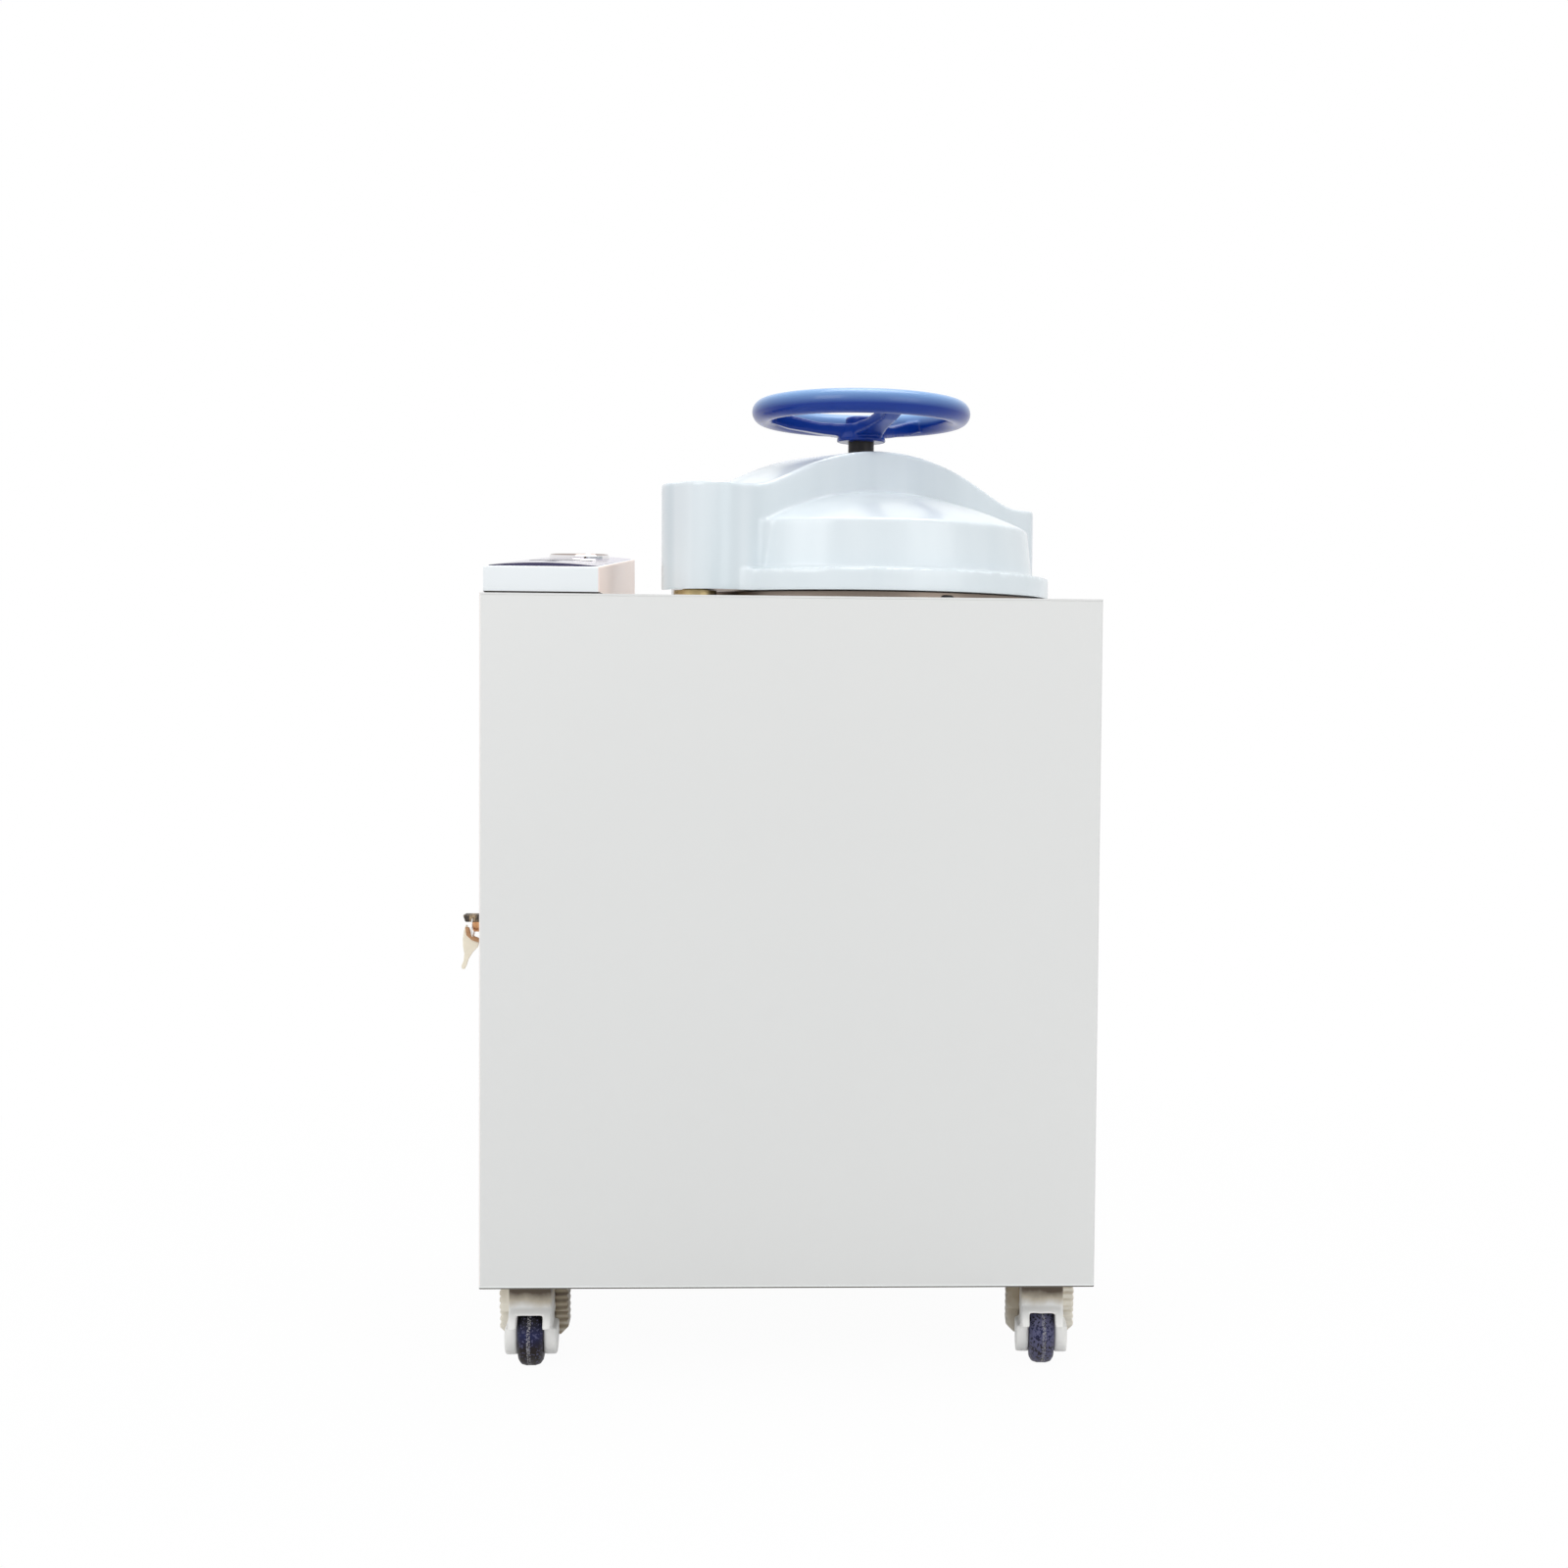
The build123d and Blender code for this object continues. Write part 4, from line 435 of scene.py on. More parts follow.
cover = melt([drum, skirt, wall, block], "lid_cover_moulding", 0.0023, 7)
only(cover)
bpy.ops.object.mode_set(mode="EDIT")
bpy.ops.mesh.select_all(action="SELECT")
bpy.ops.mesh.bisect(plane_co=(0, 0, 0.0105), plane_no=(0, 0, 1), clear_inner=True)
bpy.ops.object.mode_set(mode="OBJECT")
modify(cover, "DECIMATE", ratio=0.6)
modify(cover, "SOLIDIFY", thickness=0.003, offset=-1)
shifted(cover, (0, 0, -0.002))
spindle_hole_r = 0.017
bpy.ops.mesh.primitive_cylinder_add(radius=spindle_hole_r, depth=0.06, vertices=64, location=(0, 0, 0.165))
carve(cover, bpy.context.object, solver="MANIFOLD")

# The block's left end is open on one side, so that the arm can swing past the catch post.
bpy.ops.mesh.primitive_cube_add(size=1, location=(-0.2245, half, 0.05))
gate = bpy.context.object
gate.scale = (0.047, 0.06, 0.093)
bpy.ops.object.transform_apply()
carve(cover, gate, solver="MANIFOLD")

# The pressure lid's rim is 10 mm thick and rises 10 mm inside the cover.
rim_reach, rim_r = 0.0207, 0.1892
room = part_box("pressure_lid")[0].z + rim_reach - plate_z
bpy.ops.mesh.primitive_cylinder_add(radius=rim_r, depth=room, vertices=160, location=(0, 0, room / 2))
carve(cover, bpy.context.object, solver="MANIFOLD")
shifted(cover, (chamber.x, chamber.y, plate_z), beam_turn)
settle(cover, 40)

cover_gloss = Finish("lid_cover_gloss", coat_weight=0.15, coat_roughness=0.14)
# Painted reflections: vertical light and dark streaks, strongest on the block's left end, over a gently
# varying pale tone.
painted_reflection_share = cover_gloss.spread(cover_gloss.axis("X"), chamber.x - 0.15, chamber.x - 0.09, 1.0, 0.16)
painted_reflection_streaks = cover_gloss.noise(38, 1, (1, 1, 0.04))
tone_and_reflections = (painted_reflection_streaks - 0.5) * painted_reflection_share + cover_gloss.noise(5) * 0.12 + 0.47
tones = (0.37, (0.67, 0.74, 0.775, 1)), (0.62, (0.775, 0.83, 0.86, 1))
cover_gloss.colour(cover_gloss.ramp(tone_and_reflections, *tones))
cover_gloss.rough(0.20 + 0.06 * cover_gloss.noise(25))
cover_gloss.bump(cover_gloss.noise(60, 1), 0.04, 0.001)
dress(cover, "lid_arm", cover_gloss, "lid_cover", slot="cover_plastic")


# The handwheel is a glossy blue moulding: a thick round rim and three broad spokes that dish down to a
# short hub. It sits on the black spindle, under a domed cap.
hub_outline = [(0, 0), (0.0265, 0), (0.0265, 0.003), (0.0235, 0.008), (0.0225, 0.019), (0, 0.019)]
hub = turned_shape("wheel_hub", hub_outline, 64)
bpy.ops.mesh.primitive_torus_add(major_radius=0.1059, minor_radius=0.0128, major_segments=160,
                                 minor_segments=40, location=(0, 0, 0.031))
rim = bpy.context.object
bpy.ops.object.transform_apply()
arm_side = [(0.008, 0.004), (0.038, 0.008), (0.080, 0.0155), (0.100, 0.022), (0.102, 0.035),
            (0.075, 0.029), (0.044, 0.021), (0.0225, 0.019), (0.008, 0.019)]
arm_edge = [(0, -0.019), (0.0265, -0.0155), (0.045, -0.0115), (0.075, -0.0085), (0.106, -0.0095)]
arm_plan = arm_edge + [(x, -y) for x, y in reversed(arm_edge)]
arms = []
for turn in (50, 170, 290):
    arm = flat_shape("wheel_arm", arm_side, 0.04)
    arm.data.transform(Matrix.Rotation(pi / 2, 4, "X"))
    shifted(arm, (0, 0.02, 0))
    carve(arm, flat_shape("arm_plan", arm_plan, 0.06), "INTERSECT")
    arms.append(shifted(arm, (0, 0, 0), radians(turn)))
wheel = melt([hub, rim] + arms, "handwheel_moulding", 0.0013, 8)
spindle_r = 0.0141
bpy.ops.mesh.primitive_cylinder_add(radius=spindle_r, depth=0.1, vertices=48)
carve(wheel, bpy.context.object)
wheel_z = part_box("handwheel")[0].z
shifted(wheel, (chamber.x, chamber.y, wheel_z))
settle(wheel, 50)

blue = Finish("handwheel_blue", coat_weight=0.45, coat_roughness=0.06)
blue.feed(blue.shader.inputs["Specular IOR Level"], 0.2)
blue.feed(blue.shader.inputs["Coat IOR"], 1.3)
# Painted highlight: the wheel's upper part is painted light blue, lighter towards the top.
painted_top_highlight = blue.spread(blue.axis("Z"), wheel_z + 0.027, wheel_z + 0.043)
deep = blue.blend(blue.noise(30), (0.001, 0.026, 0.23, 1), (0.002, 0.034, 0.265, 1))
blue.colour(blue.blend(painted_top_highlight, deep, (0.25, 0.44, 0.73, 1)))
blue.rough(0.26 + 0.08 * blue.noise(50))
blue.bump(blue.noise(90, 1), 0.05, 0.0006)
dress(wheel, "wheel_set", blue, "handwheel", slot="blue_plastic")
blue.on("wheel_cap")

oxide = Finish("black_oxide", metallic=0.6)
oxide.colour(oxide.blend(oxide.noise(80), (0.012, 0.011, 0.011, 1), (0.03, 0.027, 0.025, 1)))
oxide.rough(0.34 + 0.2 * oxide.noise(150, 3, (1, 1, 12)))
oxide.bump(oxide.noise(120, 2, (1, 1, 20)), 0.1, 0.0004)
oxide.on("spindle")


# Under the cover are the cranked steel beam with its bronze nut, the dished pressure lid with its
# silicone ring, the hinge pillar at the rear right, and the brass catch post at the front left.
def steel_finish(name, low, high, rough, stretch):
    """Bare metal with fine lines along one direction."""
    metal = Finish(name, metallic=1.0)
    lines = metal.noise(260, 3, stretch)
    metal.colour(metal.blend(lines, low, high))
    metal.rough(rough + 0.16 * lines)
    metal.bump(lines, 0.08, 0.0003)
    return metal


zinc = steel_finish("zinc_plate", (0.34, 0.34, 0.34, 1), (0.46, 0.46, 0.45, 1), 0.34, (1, 1, 1))
zinc.on("deck_plate", "lid_beam", "hinge_pillar", "vessel_stand", "caster_plates", "panel_screws")
round_steel = steel_finish("stainless_turned", (0.55, 0.55, 0.54, 1), (0.66, 0.66, 0.65, 1), 0.22,
                           (1, 1, 14))
round_steel.on("chamber_vessel", "pressure_lid", "basket", "basket_bail", "pipework", "probes")
# Painted shade: the flange, seen in the dark gap under the cover, is a darkened brownish copy of the
# stainless finish.
flange_steel_painted_shade = steel_finish("stainless_flange_shaded", (0.16, 0.13, 0.11, 1), (0.25, 0.205, 0.17, 1), 0.26,
                            (1, 1, 22))
flange_steel_painted_shade.on("chamber_flange")
flat_steel = steel_finish("stainless_plate", (0.50, 0.50, 0.49, 1), (0.63, 0.63, 0.62, 1), 0.25, (1, 14, 1))
flat_steel.on("rack_plate")
brass = steel_finish("machined_brass", (0.36, 0.27, 0.13, 1), (0.52, 0.41, 0.22, 1), 0.24, (1, 1, 18))
brass.on("catch_post", "spindle_nut", "drain_valve", "safety_valve")
heater = steel_finish("heater_sheath", (0.10, 0.09, 0.08, 1), (0.24, 0.20, 0.17, 1), 0.42, (1, 1, 1))
heater.on("heater_element")
silicone = Finish("silicone_ring")
silicone.colour(silicone.blend(silicone.noise(90), (0.62, 0.58, 0.50, 1), (0.70, 0.66, 0.58, 1)))
silicone.rough(0.5 + 0.12 * silicone.noise(200))
silicone.on("lid_gasket")

stop_outline = [(0, 0), (0.0075, 0), (0.0072, 0.0036), (0.0055, 0.0048), (0, 0.0052)]
stop = turned_shape("cover_stop", stop_outline, 40)
shifted(stop, (chamber.x + 0.082, chamber.y - 0.176, plate_z))
settle(stop, 40)
stop_rubber = Finish("stop_rubber")
grain = stop_rubber.noise(300)
stop_rubber.colour(stop_rubber.blend(grain, (0.012, 0.011, 0.011, 1), (0.03, 0.028, 0.027, 1)))
stop_rubber.rough(0.55 + 0.2 * stop_rubber.noise(400))
dress(stop, "cabinet", stop_rubber, slot="seal_rubber")


# The control strip runs front to back on the left edge. A glossy dark blue film covers its sloping top,
# with a display window, three keys and status lamps, and the chrome pressure gauge stands near its rear.
strip_lo, strip_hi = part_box("control_housing")
slope = radians(4.5625)
film_lo, film_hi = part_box("control_overlay")
strip_mid = (film_lo.x + film_hi.x) / 2
front_z, front_y = plate_z + 0.0263, strip_lo.y

strip_coat = Finish("strip_coat")
shell_tone = strip_coat.blend(strip_coat.noise(2.2), (0.83, 0.865, 0.88, 1), (0.86, 0.89, 0.905, 1))
# Painted light: the strip's right side wall is painted a lighter, warm pinkish tone.
painted_light_side = strip_coat.axis("X") > strip_hi.x - 0.0012
shell_tone = strip_coat.blend(painted_light_side, shell_tone, (0.88, 0.73, 0.66, 1))
# Painted shade: a near-black line along the foot, where the strip meets the top plate.
shade = strip_coat.axis("Z") < plate_z + 0.0018
strip_coat.colour(strip_coat.blend(shade, shell_tone, (0.03, 0.022, 0.018, 1)))
strip_coat.rough(0.34 + 0.10 * strip_coat.noise(45))
strip_coat.bump(strip_coat.noise(1100, 3), 0.05, 0.0003)
housing = traced("control_housing", "control_housing_coated")
modify(housing, "BEVEL", width=0.0005, segments=2, limit_method="ANGLE", angle_limit=radians(50))
settle(housing)
dress(housing, "cabinet", strip_coat, "control_housing", slot="cabinet_paint")


def on_strip(x, y, up=0.0):
    """Placement on the sloping top at x from its middle and y, with Z out of the surface."""
    spot = Vector((strip_mid + x, y, front_z + (y - front_y) * tan(slope)))
    return Matrix.Translation(spot) @ Matrix.Rotation(slope, 4, "X") @ Matrix.Translation((0, 0, up))


def laid(piece, x, y, up):
    """Lays a piece on the sloping top, in its mesh."""
    piece.data.transform(on_strip(x, y, up))
    return piece


gauge_y = middle("gauge_glass")[1]
key_y = [middle(f"button_{i}")[1] for i in (1, 2, 3)]
half_w, film_l = (film_hi.x - film_lo.x) / 2, (film_hi.y - film_lo.y) / cos(slope)
film_mid = (film_lo.y + film_hi.y) / 2
corner, under, edge_up, crown_up = 0.005, -0.0005, 0.0006, 0.0028
outline = []
for cx, cy, start in ((1, 1, 0), (-1, 1, 90), (-1, -1, 180), (1, -1, 270)):
    centre = (cx * (half_w - corner), cy * (film_l / 2 - corner))
    outline += arc(centre, corner, start, start + 90, 6)
crown = [(half_w * i / 12, edge_up + crown_up * (1 - (i / 12) ** 2)) for i in range(-12, 13)]
film = flat_shape("control_film", [(half_w, under)] + crown[::-1] + [(-half_w, under)], film_l)
film.data.transform(Matrix.Rotation(pi / 2, 4, "X"))
shifted(film, (0, film_l / 2, 0))
window = bpy.data.objects.new("display_window", film.data.copy())
bpy.context.scene.collection.objects.link(window)
plan = shifted(flat_shape("film_plan", outline, 0.01), (0, 0, -0.005))
carve(film, plan, "INTERSECT")
laid(film, 0, film_mid, 0)
gauge_hole_r, key_hole_r = 0.0343, 0.0073
for y, r in [(gauge_y, gauge_hole_r)] + [(y, key_hole_r) for y in key_y]:
    bpy.ops.mesh.primitive_cylinder_add(radius=r, depth=0.02, vertices=64)
    laid(bpy.context.object, 0, y, 0)
    carve(film, bpy.context.object)
settle(film)
film_ink = Finish("panel_film", specular_tint=(0.88, 0.80, 1.0, 1), coat_weight=0.7, coat_roughness=0.06,
                  coat_tint=(0.95, 0.90, 1.0, 1))
drift = film_ink.axis("Y") * 1.6 + 0.5
film_ink.colour(film_ink.blend(drift, (0.012, 0.011, 0.05, 1), (0.05, 0.04, 0.18, 1)))
film_ink.rough(0.14 + 0.08 * film_ink.noise(900))
dress(film, "cabinet", film_ink, "control_overlay", slot="overlay_film")

window_y, pane_x, pane_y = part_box("button_3")[1].y + 0.068, 0.033, 0.024
pane_outline = [(-pane_x, -pane_y), (pane_x, -pane_y), (pane_x, pane_y), (-pane_x, pane_y)]
pane = flat_shape("window_plan", pane_outline, 0.01)
carve(window, shifted(pane, (0, (window_y - film_mid) / cos(slope), -0.005)), "INTERSECT")
modify(window, "BEVEL", width=0.0002, segments=2, limit_method="ANGLE", angle_limit=radians(50))
laid(window, 0, film_mid, 0.0003)
settle(window)
screen = Finish("display_dark", coat_weight=1.0, coat_roughness=0.03, roughness=0.3)
screen.colour(screen.blend(screen.noise(400), (0.006, 0.008, 0.009, 1), (0.012, 0.014, 0.016, 1)))
dress(window, "cabinet", screen, slot="overlay_film")

lamps = []
for i, y in enumerate(key_y):
    bpy.ops.mesh.primitive_uv_sphere_add(radius=0.0022, segments=20, ring_count=10)
    lens_piece = bpy.context.object
    lens_piece.data.transform(Matrix.Scale(0.35, 4, (0, 0, 1)))
    lamps.append(laid(lens_piece, 0.022, y, 0.0014))
for lamp_piece, tone in zip(lamps, ((0.05, 0.5, 0.1, 1), (0.6, 0.3, 0.02, 1), (0.55, 0.02, 0.02, 1))):
    modify(lamp_piece, "SUBSURF", levels=1, render_levels=1)
    settle(lamp_piece, 60)
    lens = Finish("status_lens", roughness=0.2, coat_weight=0.5)
    lens.colour(lens.blend(lens.noise(600), tone, [min(1, 1.3 * v + 0.02) for v in tone[:3]] + [1]))
    lamp_piece.name = "status_lamp"
    dress(lamp_piece, "cabinet", lens, slot="overlay_film")
key_cap = Finish("key_cap")
key_cap.colour(key_cap.blend(key_cap.noise(200), (0.42, 0.46, 0.52, 1), (0.50, 0.54, 0.60, 1)))
key_cap.rough(0.38 + 0.1 * key_cap.noise(700))
key_cap.bump(key_cap.noise(1500), 0.06, 0.0002)
key_cap.on("button_1", "button_2", "button_3")

chrome = Finish("polished_chrome", metallic=1.0)
bright = chrome.blend(chrome.noise(40), (0.72, 0.71, 0.72, 1), (0.84, 0.83, 0.84, 1))
datum = front_z * cos(slope) - front_y * sin(slope)
rise = chrome.axis("Z") * cos(slope) - chrome.axis("Y") * sin(slope) - datum
# Painted shade: a dull brownish band at the case's foot, and a painted dark reflection in the same tone
# round its top edge.
chrome.colour(chrome.blend((rise < 0.0018) + (rise > 0.0060), bright, (0.42, 0.35, 0.32, 1)))
chrome.rough(0.06 + 0.05 * chrome.noise(60))
chrome.on("gauge_case")
nickel = Finish("ring_nickel", metallic=0.5)
nickel.colour(nickel.blend(nickel.noise(300), (0.86, 0.85, 0.84, 1), (0.95, 0.94, 0.93, 1)))
nickel.rough(0.3 + 0.1 * nickel.noise(400))
nickel.on("key_ring")
dial_r, numeral_r, scale_r = 0.0288, 0.0168, 0.0252
bpy.ops.mesh.primitive_cylinder_add(radius=dial_r, depth=0.0006, vertices=96)
dial = laid(bpy.context.object, 0, gauge_y, 0.0014)
dial.name = "dial_face"
modify(dial, "BEVEL", width=0.0002, segments=2, limit_method="ANGLE")
settle(dial)
enamel = Finish("dial_enamel")
enamel.colour(enamel.blend(enamel.noise(120), (0.80, 0.80, 0.77, 1), (0.85, 0.85, 0.82, 1)))
enamel.rough(0.4 + 0.1 * enamel.noise(300))
dress(dial, "cabinet", enamel, slot="chrome")
ticks = []
for i in range(41):
    turn = radians(225 - 270 * i / 40)
    long = i % 10 == 0
    inner, wide = (0.0205, 0.0007) if long else (0.0222, 0.0003)
    tick_outline = [(inner, -wide / 2), (scale_r, -wide / 2), (scale_r, wide / 2), (inner, wide / 2)]
    ticks.append(shifted(flat_shape("dial_tick", tick_outline, 0.0001), (0, 0, 0), turn))
for i, word in enumerate(("0", "1", "2", "3", "4")):
    turn = radians(225 - 270 * i / 4)
    bpy.ops.object.text_add(location=(numeral_r * cos(turn), numeral_r * sin(turn), 0))
    numeral = bpy.context.object
    numeral.data.body, numeral.data.size = word, 0.0055
    numeral.data.align_x, numeral.data.align_y = "CENTER", "CENTER"
    numeral.data.extrude = 0.00005
    only(numeral)
    bpy.ops.object.convert(target="MESH")
    bpy.ops.object.transform_apply(location=True)
    ticks.append(bpy.context.object)
scale = laid(joined(ticks, "dial_scale"), 0, gauge_y, 0.00172)
settle(scale, 0)
ink = Finish("dial_ink")
ink.colour(ink.blend(ink.noise(500), (0.012, 0.012, 0.012, 1), (0.03, 0.03, 0.03, 1)))
ink.rough(0.5 + 0.1 * ink.noise(400))
dress(scale, "cabinet", ink, slot="pointer_black")
ink.on("gauge_pointer")
clear = Finish("gauge_window", roughness=0.02, base_color=(0.95, 0.97, 0.98, 1), alpha=0.08)
clear.rough(0.02 + 0.02 * clear.noise(40))
clear.on("gauge_glass")


# The lock sits on the left side door, near its front edge. A key with a dark head is left in it, and the
# spare key of ivory plastic hangs from it by a metal ring and a short leather strap.
def beside_door(name, points, y, depth):
    """A flat piece on the door from (x, z) points taken from the lock's place on the door's face."""
    piece = flat_shape(name, points, depth)
    piece.data.transform(Matrix.Rotation(pi / 2, 4, "X"))
    return shifted(piece, (door_face, y + depth / 2, lock_z))


door_face = strip_lo.x - 0.0035
lock_y, lock_z = middle("lock_body")[1:]
spare_y = middle("spare_key")[1]
barrel_outline = [(0, 0), (0.0086, 0), (0.0088, 0.001), (0.0088, 0.0092), (0.0078, 0.0104), (0, 0.0104)]
barrel = turned_shape("lock_barrel", barrel_outline, 48)
barrel.data.transform(Matrix.Rotation(-pi / 2, 4, "Y"))
shifted(barrel, (door_face, lock_y, lock_z - 0.0022))
settle(barrel, 40)
lock_metal = steel_finish("lock_bronze", (0.60, 0.30, 0.14, 1), (0.74, 0.42, 0.22, 1), 0.36, (14, 1, 1))
dress(barrel, "door_leaf", lock_metal, "lock_body", slot="plain_steel")

head_outline = [(-0.0196, 0.0066), (-0.0005, 0.0066), (-0.0005, -0.0004), (-0.0172, -0.0004)]
key_head = beside_door("key_head", head_outline, lock_y - 0.0006, 0.0184)
modify(key_head, "BEVEL", width=0.0011, segments=3, limit_method="ANGLE", angle_limit=radians(50))
settle(key_head)
key_dark = Finish("key_dark")
worn = key_dark.noise(420, 4)
along = key_dark.axis("X")
# Random lighter spots, with more of them in a band 7 to 13 mm out from the door.
patch = worn + (along > strip_lo.x - 0.0165) * (along < strip_lo.x - 0.0105) * 0.16
key_head_tones = (0.0, (0.012, 0.009, 0.006, 1)), (0.52, (0.05, 0.036, 0.024, 1)), (0.74, (0.42, 0.30, 0.18, 1))
key_dark.colour(key_dark.ramp(patch, *key_head_tones))
key_dark.rough(0.48 + 0.2 * worn)
key_dark.bump(worn, 0.15, 0.0003)
dress(key_head, "lock_plug", key_dark, "lock_key", slot="key_metal")

key_outline = [(-0.0168, -0.0033), (-0.0189, -0.0097), (-0.0199, -0.0175), (-0.0196, -0.0253),
               (-0.0184, -0.0321), (-0.0191, -0.0390), (-0.0212, -0.0440), (-0.0208, -0.0470),
               (-0.0182, -0.0476), (-0.0162, -0.0439), (-0.0142, -0.0375), (-0.0100, -0.0306),
               (-0.0052, -0.0257), (-0.0033, -0.0204), (-0.0086, -0.0165), (-0.0134, -0.0138),
               (-0.0148, -0.0077), (-0.0153, -0.0038)]
spare = beside_door("spare_key_moulded", key_outline, spare_y, 0.0034)
modify(spare, "REMESH", mode="VOXEL", voxel_size=0.0004)
modify(spare, "SMOOTH", factor=0.5, iterations=8)
settle(spare, 60)
ivory = Finish("key_ivory")
ivory.colour(ivory.blend(ivory.noise(90), (0.86, 0.78, 0.62, 1), (0.93, 0.86, 0.71, 1)))
ivory.rough(0.35 + 0.15 * ivory.noise(250))
ivory.bump(ivory.noise(500), 0.08, 0.0003)
dress(spare, "hanging_key", ivory, "spare_key", slot="key_plastic")

strap_outline = [(-0.0172, -0.0050), (-0.0160, -0.0134), (-0.0106, -0.0184), (-0.0012, -0.0216),
                 (-0.0012, -0.0176), (-0.0086, -0.0146), (-0.0122, -0.0112), (-0.0134, -0.0060)]
strap = beside_door("key_strap", strap_outline, spare_y - 0.0012, 0.0050)
modify(strap, "BEVEL", width=0.0006, segments=2, limit_method="ANGLE", angle_limit=radians(50))
settle(strap)
hide = Finish("strap_leather")
hide.colour(hide.blend(hide.noise(300, 4), (0.34, 0.16, 0.07, 1), (0.62, 0.35, 0.18, 1)))
hide.rough(0.5 + 0.2 * hide.noise(500))
hide.bump(hide.noise(700), 0.2, 0.0003)
dress(strap, "hanging_key", hide)


# Inside the cabinet are the foil-faced blanket, the drain and steam pipes with their valves, the
# condensate tank, and the controller with its breaker. The mains gland is at the back.
foil = Finish("foil_blanket", metallic=0.7)
cells = {"Vector": foil.place, "Scale": 60.0}
creases = foil.node("TexVoronoi", {"feature": "DISTANCE_TO_EDGE"}, cells, "Distance")
foil.colour(foil.blend(foil.noise(60), (0.52, 0.52, 0.51, 1), (0.68, 0.68, 0.67, 1)))
foil.rough(0.3 + 0.25 * foil.noise(90))
foil.bump(creases, 0.5, 0.003)
foil.on("insulation_jacket")
moulded = Finish("dark_moulding")
moulded.colour(moulded.blend(moulded.noise(150), (0.018, 0.018, 0.02, 1), (0.035, 0.035, 0.038, 1)))
moulded.rough(0.42 + 0.15 * moulded.noise(600))
moulded.bump(moulded.noise(1200), 0.15, 0.0003)
moulded.on("solenoid_valve", "breaker_body", "breaker_toggle", "power_gland")
tank = Finish("tank_plastic", subsurface_weight=0.1)
tank.colour(tank.blend(tank.noise(20), (0.70, 0.71, 0.67, 1), (0.80, 0.81, 0.77, 1)))
tank.rough(0.4 + 0.1 * tank.noise(80))
tank.bump(tank.noise(140), 0.08, 0.001)
tank.on("collecting_bottle")
mask = Finish("board_mask", coat_weight=0.4)
tracks = mask.node("TexBrick", {}, {"Vector": mask.place, "Scale": 120.0, "Mortar Size": 0.03}, "Fac")
mask.colour(mask.blend(tracks, (0.012, 0.09, 0.045, 1), (0.03, 0.16, 0.08, 1)))
mask.rough(0.35 + 0.1 * mask.noise(500))
mask.on("controller_board")
vinyl = Finish("lever_vinyl")
vinyl.colour(vinyl.blend(vinyl.noise(120), (0.38, 0.025, 0.02, 1), (0.46, 0.04, 0.03, 1)))
vinyl.rough(0.45 + 0.15 * vinyl.noise(300))
vinyl.bump(vinyl.noise(400), 0.1, 0.0004)
vinyl.on("drain_lever")


# The casters are ivory nylon mouldings with a hood over a dark rubber wheel. The front two have a ribbed
# brake pedal round the back. All their edges are moulded soft.
nylon = Finish("caster_ivory")
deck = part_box("caster_fork_fl")[1].z
# Darker and browner towards the top: painted shade under the cabinet, together with brown grime.
shade_and_grime = (nylon.axis("Z") - (deck - 0.024)) * 50.0 + (nylon.noise(60, 4) - 0.5) * 0.5
shade_and_grime_tones = (0.0, (0.90, 0.89, 0.86, 1)), (0.4, (0.58, 0.51, 0.40, 1)), (0.8, (0.09, 0.06, 0.035, 1))
nylon.colour(nylon.ramp(shade_and_grime, *shade_and_grime_tones))
nylon.rough(0.36 + 0.15 * nylon.noise(160))
nylon.bump(nylon.noise(700), 0.08, 0.0003)

ribbed = Finish("pedal_ivory")
brake_l, brake_r = middle("brake_pedal_fl")[0], middle("brake_pedal_fr")[0]
rib_pitch = 0.007
along = ribbed.axis("X")
inner = (along > brake_l) * (along < brake_r)
grip = (along > brake_l) * (along < 0) + (along > brake_r)
bands = (ribbed.axis("Z") * (2 * pi / rib_pitch)).math("SINE") * grip
# Painted shade in the ribs' grooves, towards the top under the cabinet, and on the pedal sides that face
# the middle of the machine, over a random brown stain.
shade_and_stain = bands * 0.2 + ribbed.noise(55, 4) * 0.6 + (ribbed.axis("Z") - 0.055) * 9.0
shade_and_stain = shade_and_stain + inner * (0.32 + (along < 0) * 0.24) - 0.2
shade_and_stain_tones = (0.1, (0.86, 0.81, 0.70, 1)), (0.5, (0.44, 0.36, 0.25, 1)), (1.0, (0.09, 0.06, 0.035, 1))
ribbed.colour(ribbed.ramp(shade_and_stain, *shade_and_stain_tones))
ribbed.rough(0.4 + 0.15 * ribbed.noise(160))
ribbed.bump(bands, 0.5, 0.0012)

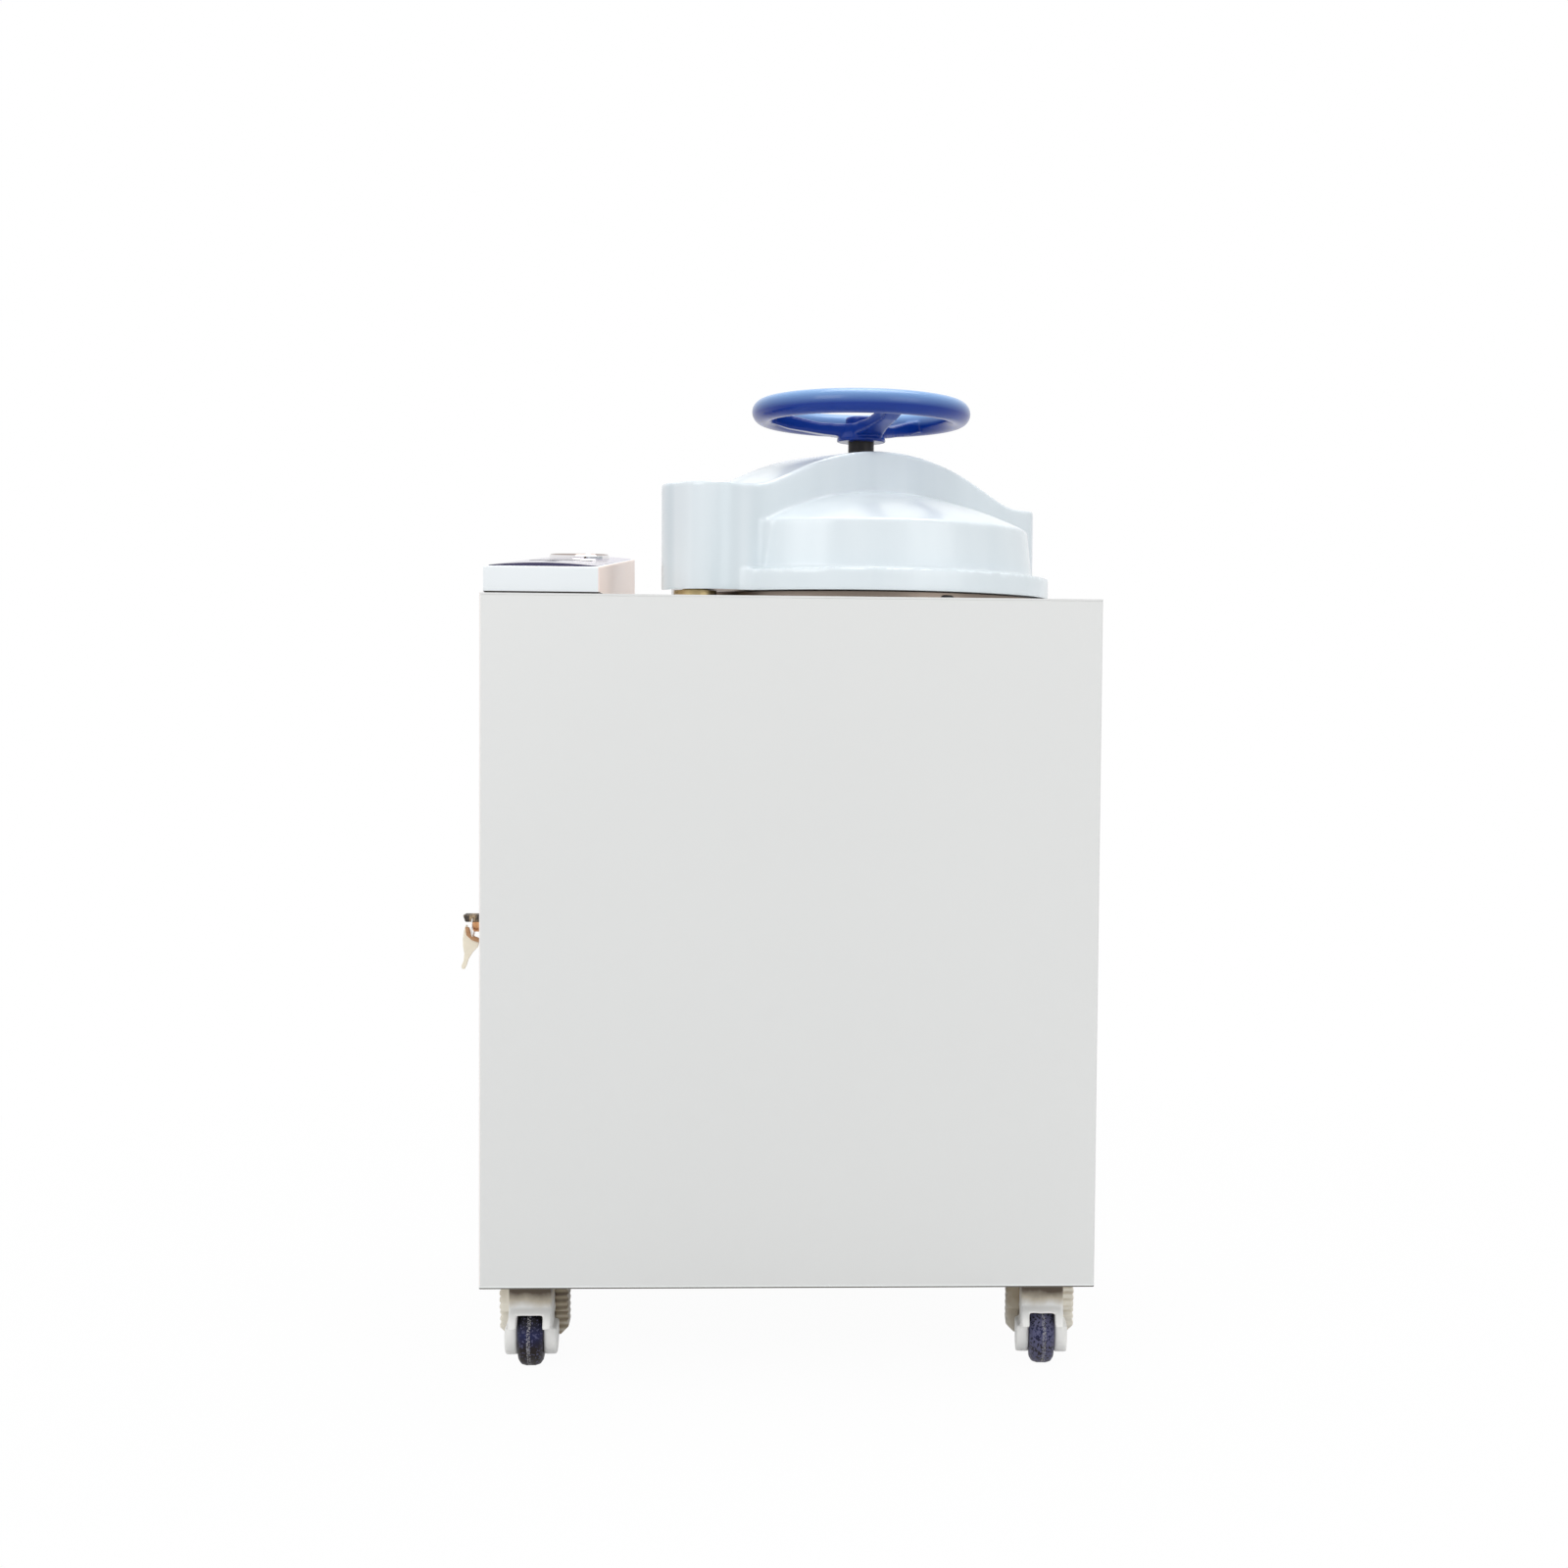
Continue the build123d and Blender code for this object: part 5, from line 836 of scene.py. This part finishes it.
tread = Finish("caster_tread")
tread.feed(tread.shader.inputs["Specular IOR Level"], 0.25)
scuffs = tread.noise(420, 5)
height = tread.axis("Z") + (scuffs - 0.5) * 0.008
# Painted sheen: a dark blue band round the wheel at mid height, between dark brown below and black above.
rubber = tread.ramp(height * 10, (0.0, (0.010, 0.005, 0.003, 1)), (0.24, (0.009, 0.005, 0.005, 1)),
                    (0.38, (0.008, 0.011, 0.060, 1)), (0.50, (0.005, 0.004, 0.007, 1)))
right_wheel = tread.axis("X") > 0
speckle = (scuffs > 0.58 - right_wheel * 0.12) * (0.5 + right_wheel * 0.2)
rubber = tread.blend(speckle, rubber, (0.13, 0.13, 0.23, 1))
wheel_l, wheel_r = middle("caster_wheel_fl")[0], middle("caster_wheel_fr")[0]
off_middle = (tread.axis("X") - wheel_l - right_wheel * (wheel_r - wheel_l)).math("ABSOLUTE")
# Painted highlight: a broken light grey streak along the middle of each tread.
painted_highlight_streak = (off_middle < 0.0018) * (tread.noise(900, 4) > 0.52)
tread.colour(tread.blend(painted_highlight_streak * 0.8, rubber, (0.36, 0.35, 0.36, 1)))
tread.rough(0.40 + 0.3 * scuffs)
tread.bump(scuffs, 0.3, 0.0006)

for corner_name in ("fl", "fr", "rl", "rr"):
    fork = traced("caster_fork_" + corner_name, f"caster_{corner_name}_housing")
    modify(fork, "REMESH", mode="VOXEL", voxel_size=0.0011)
    modify(fork, "SMOOTH", factor=0.5, iterations=12)
    modify(fork, "DISPLACE", strength=0.0005, mid_level=0)
    settle(fork, 50)
    dress(fork, "fork_" + corner_name, nylon, "caster_fork_" + corner_name, slot="caster_nylon")
    tyre = traced("caster_wheel_" + corner_name, f"caster_{corner_name}_tyre")
    modify(tyre, "BEVEL", width=0.0012, segments=3, limit_method="ANGLE", angle_limit=radians(24))
    settle(tyre, 40)
    dress(tyre, "roller_" + corner_name, tread, "caster_wheel_" + corner_name, slot="wheel_rubber")
    if corner_name.startswith("f"):
        pedal = traced("brake_pedal_" + corner_name, f"caster_{corner_name}_brake")
        modify(pedal, "REMESH", mode="VOXEL", voxel_size=0.0009)
        modify(pedal, "SMOOTH", factor=0.5, iterations=4)
        settle(pedal, 50)
        dress(pedal, "pedal_" + corner_name, ribbed, "brake_pedal_" + corner_name, slot="caster_nylon")
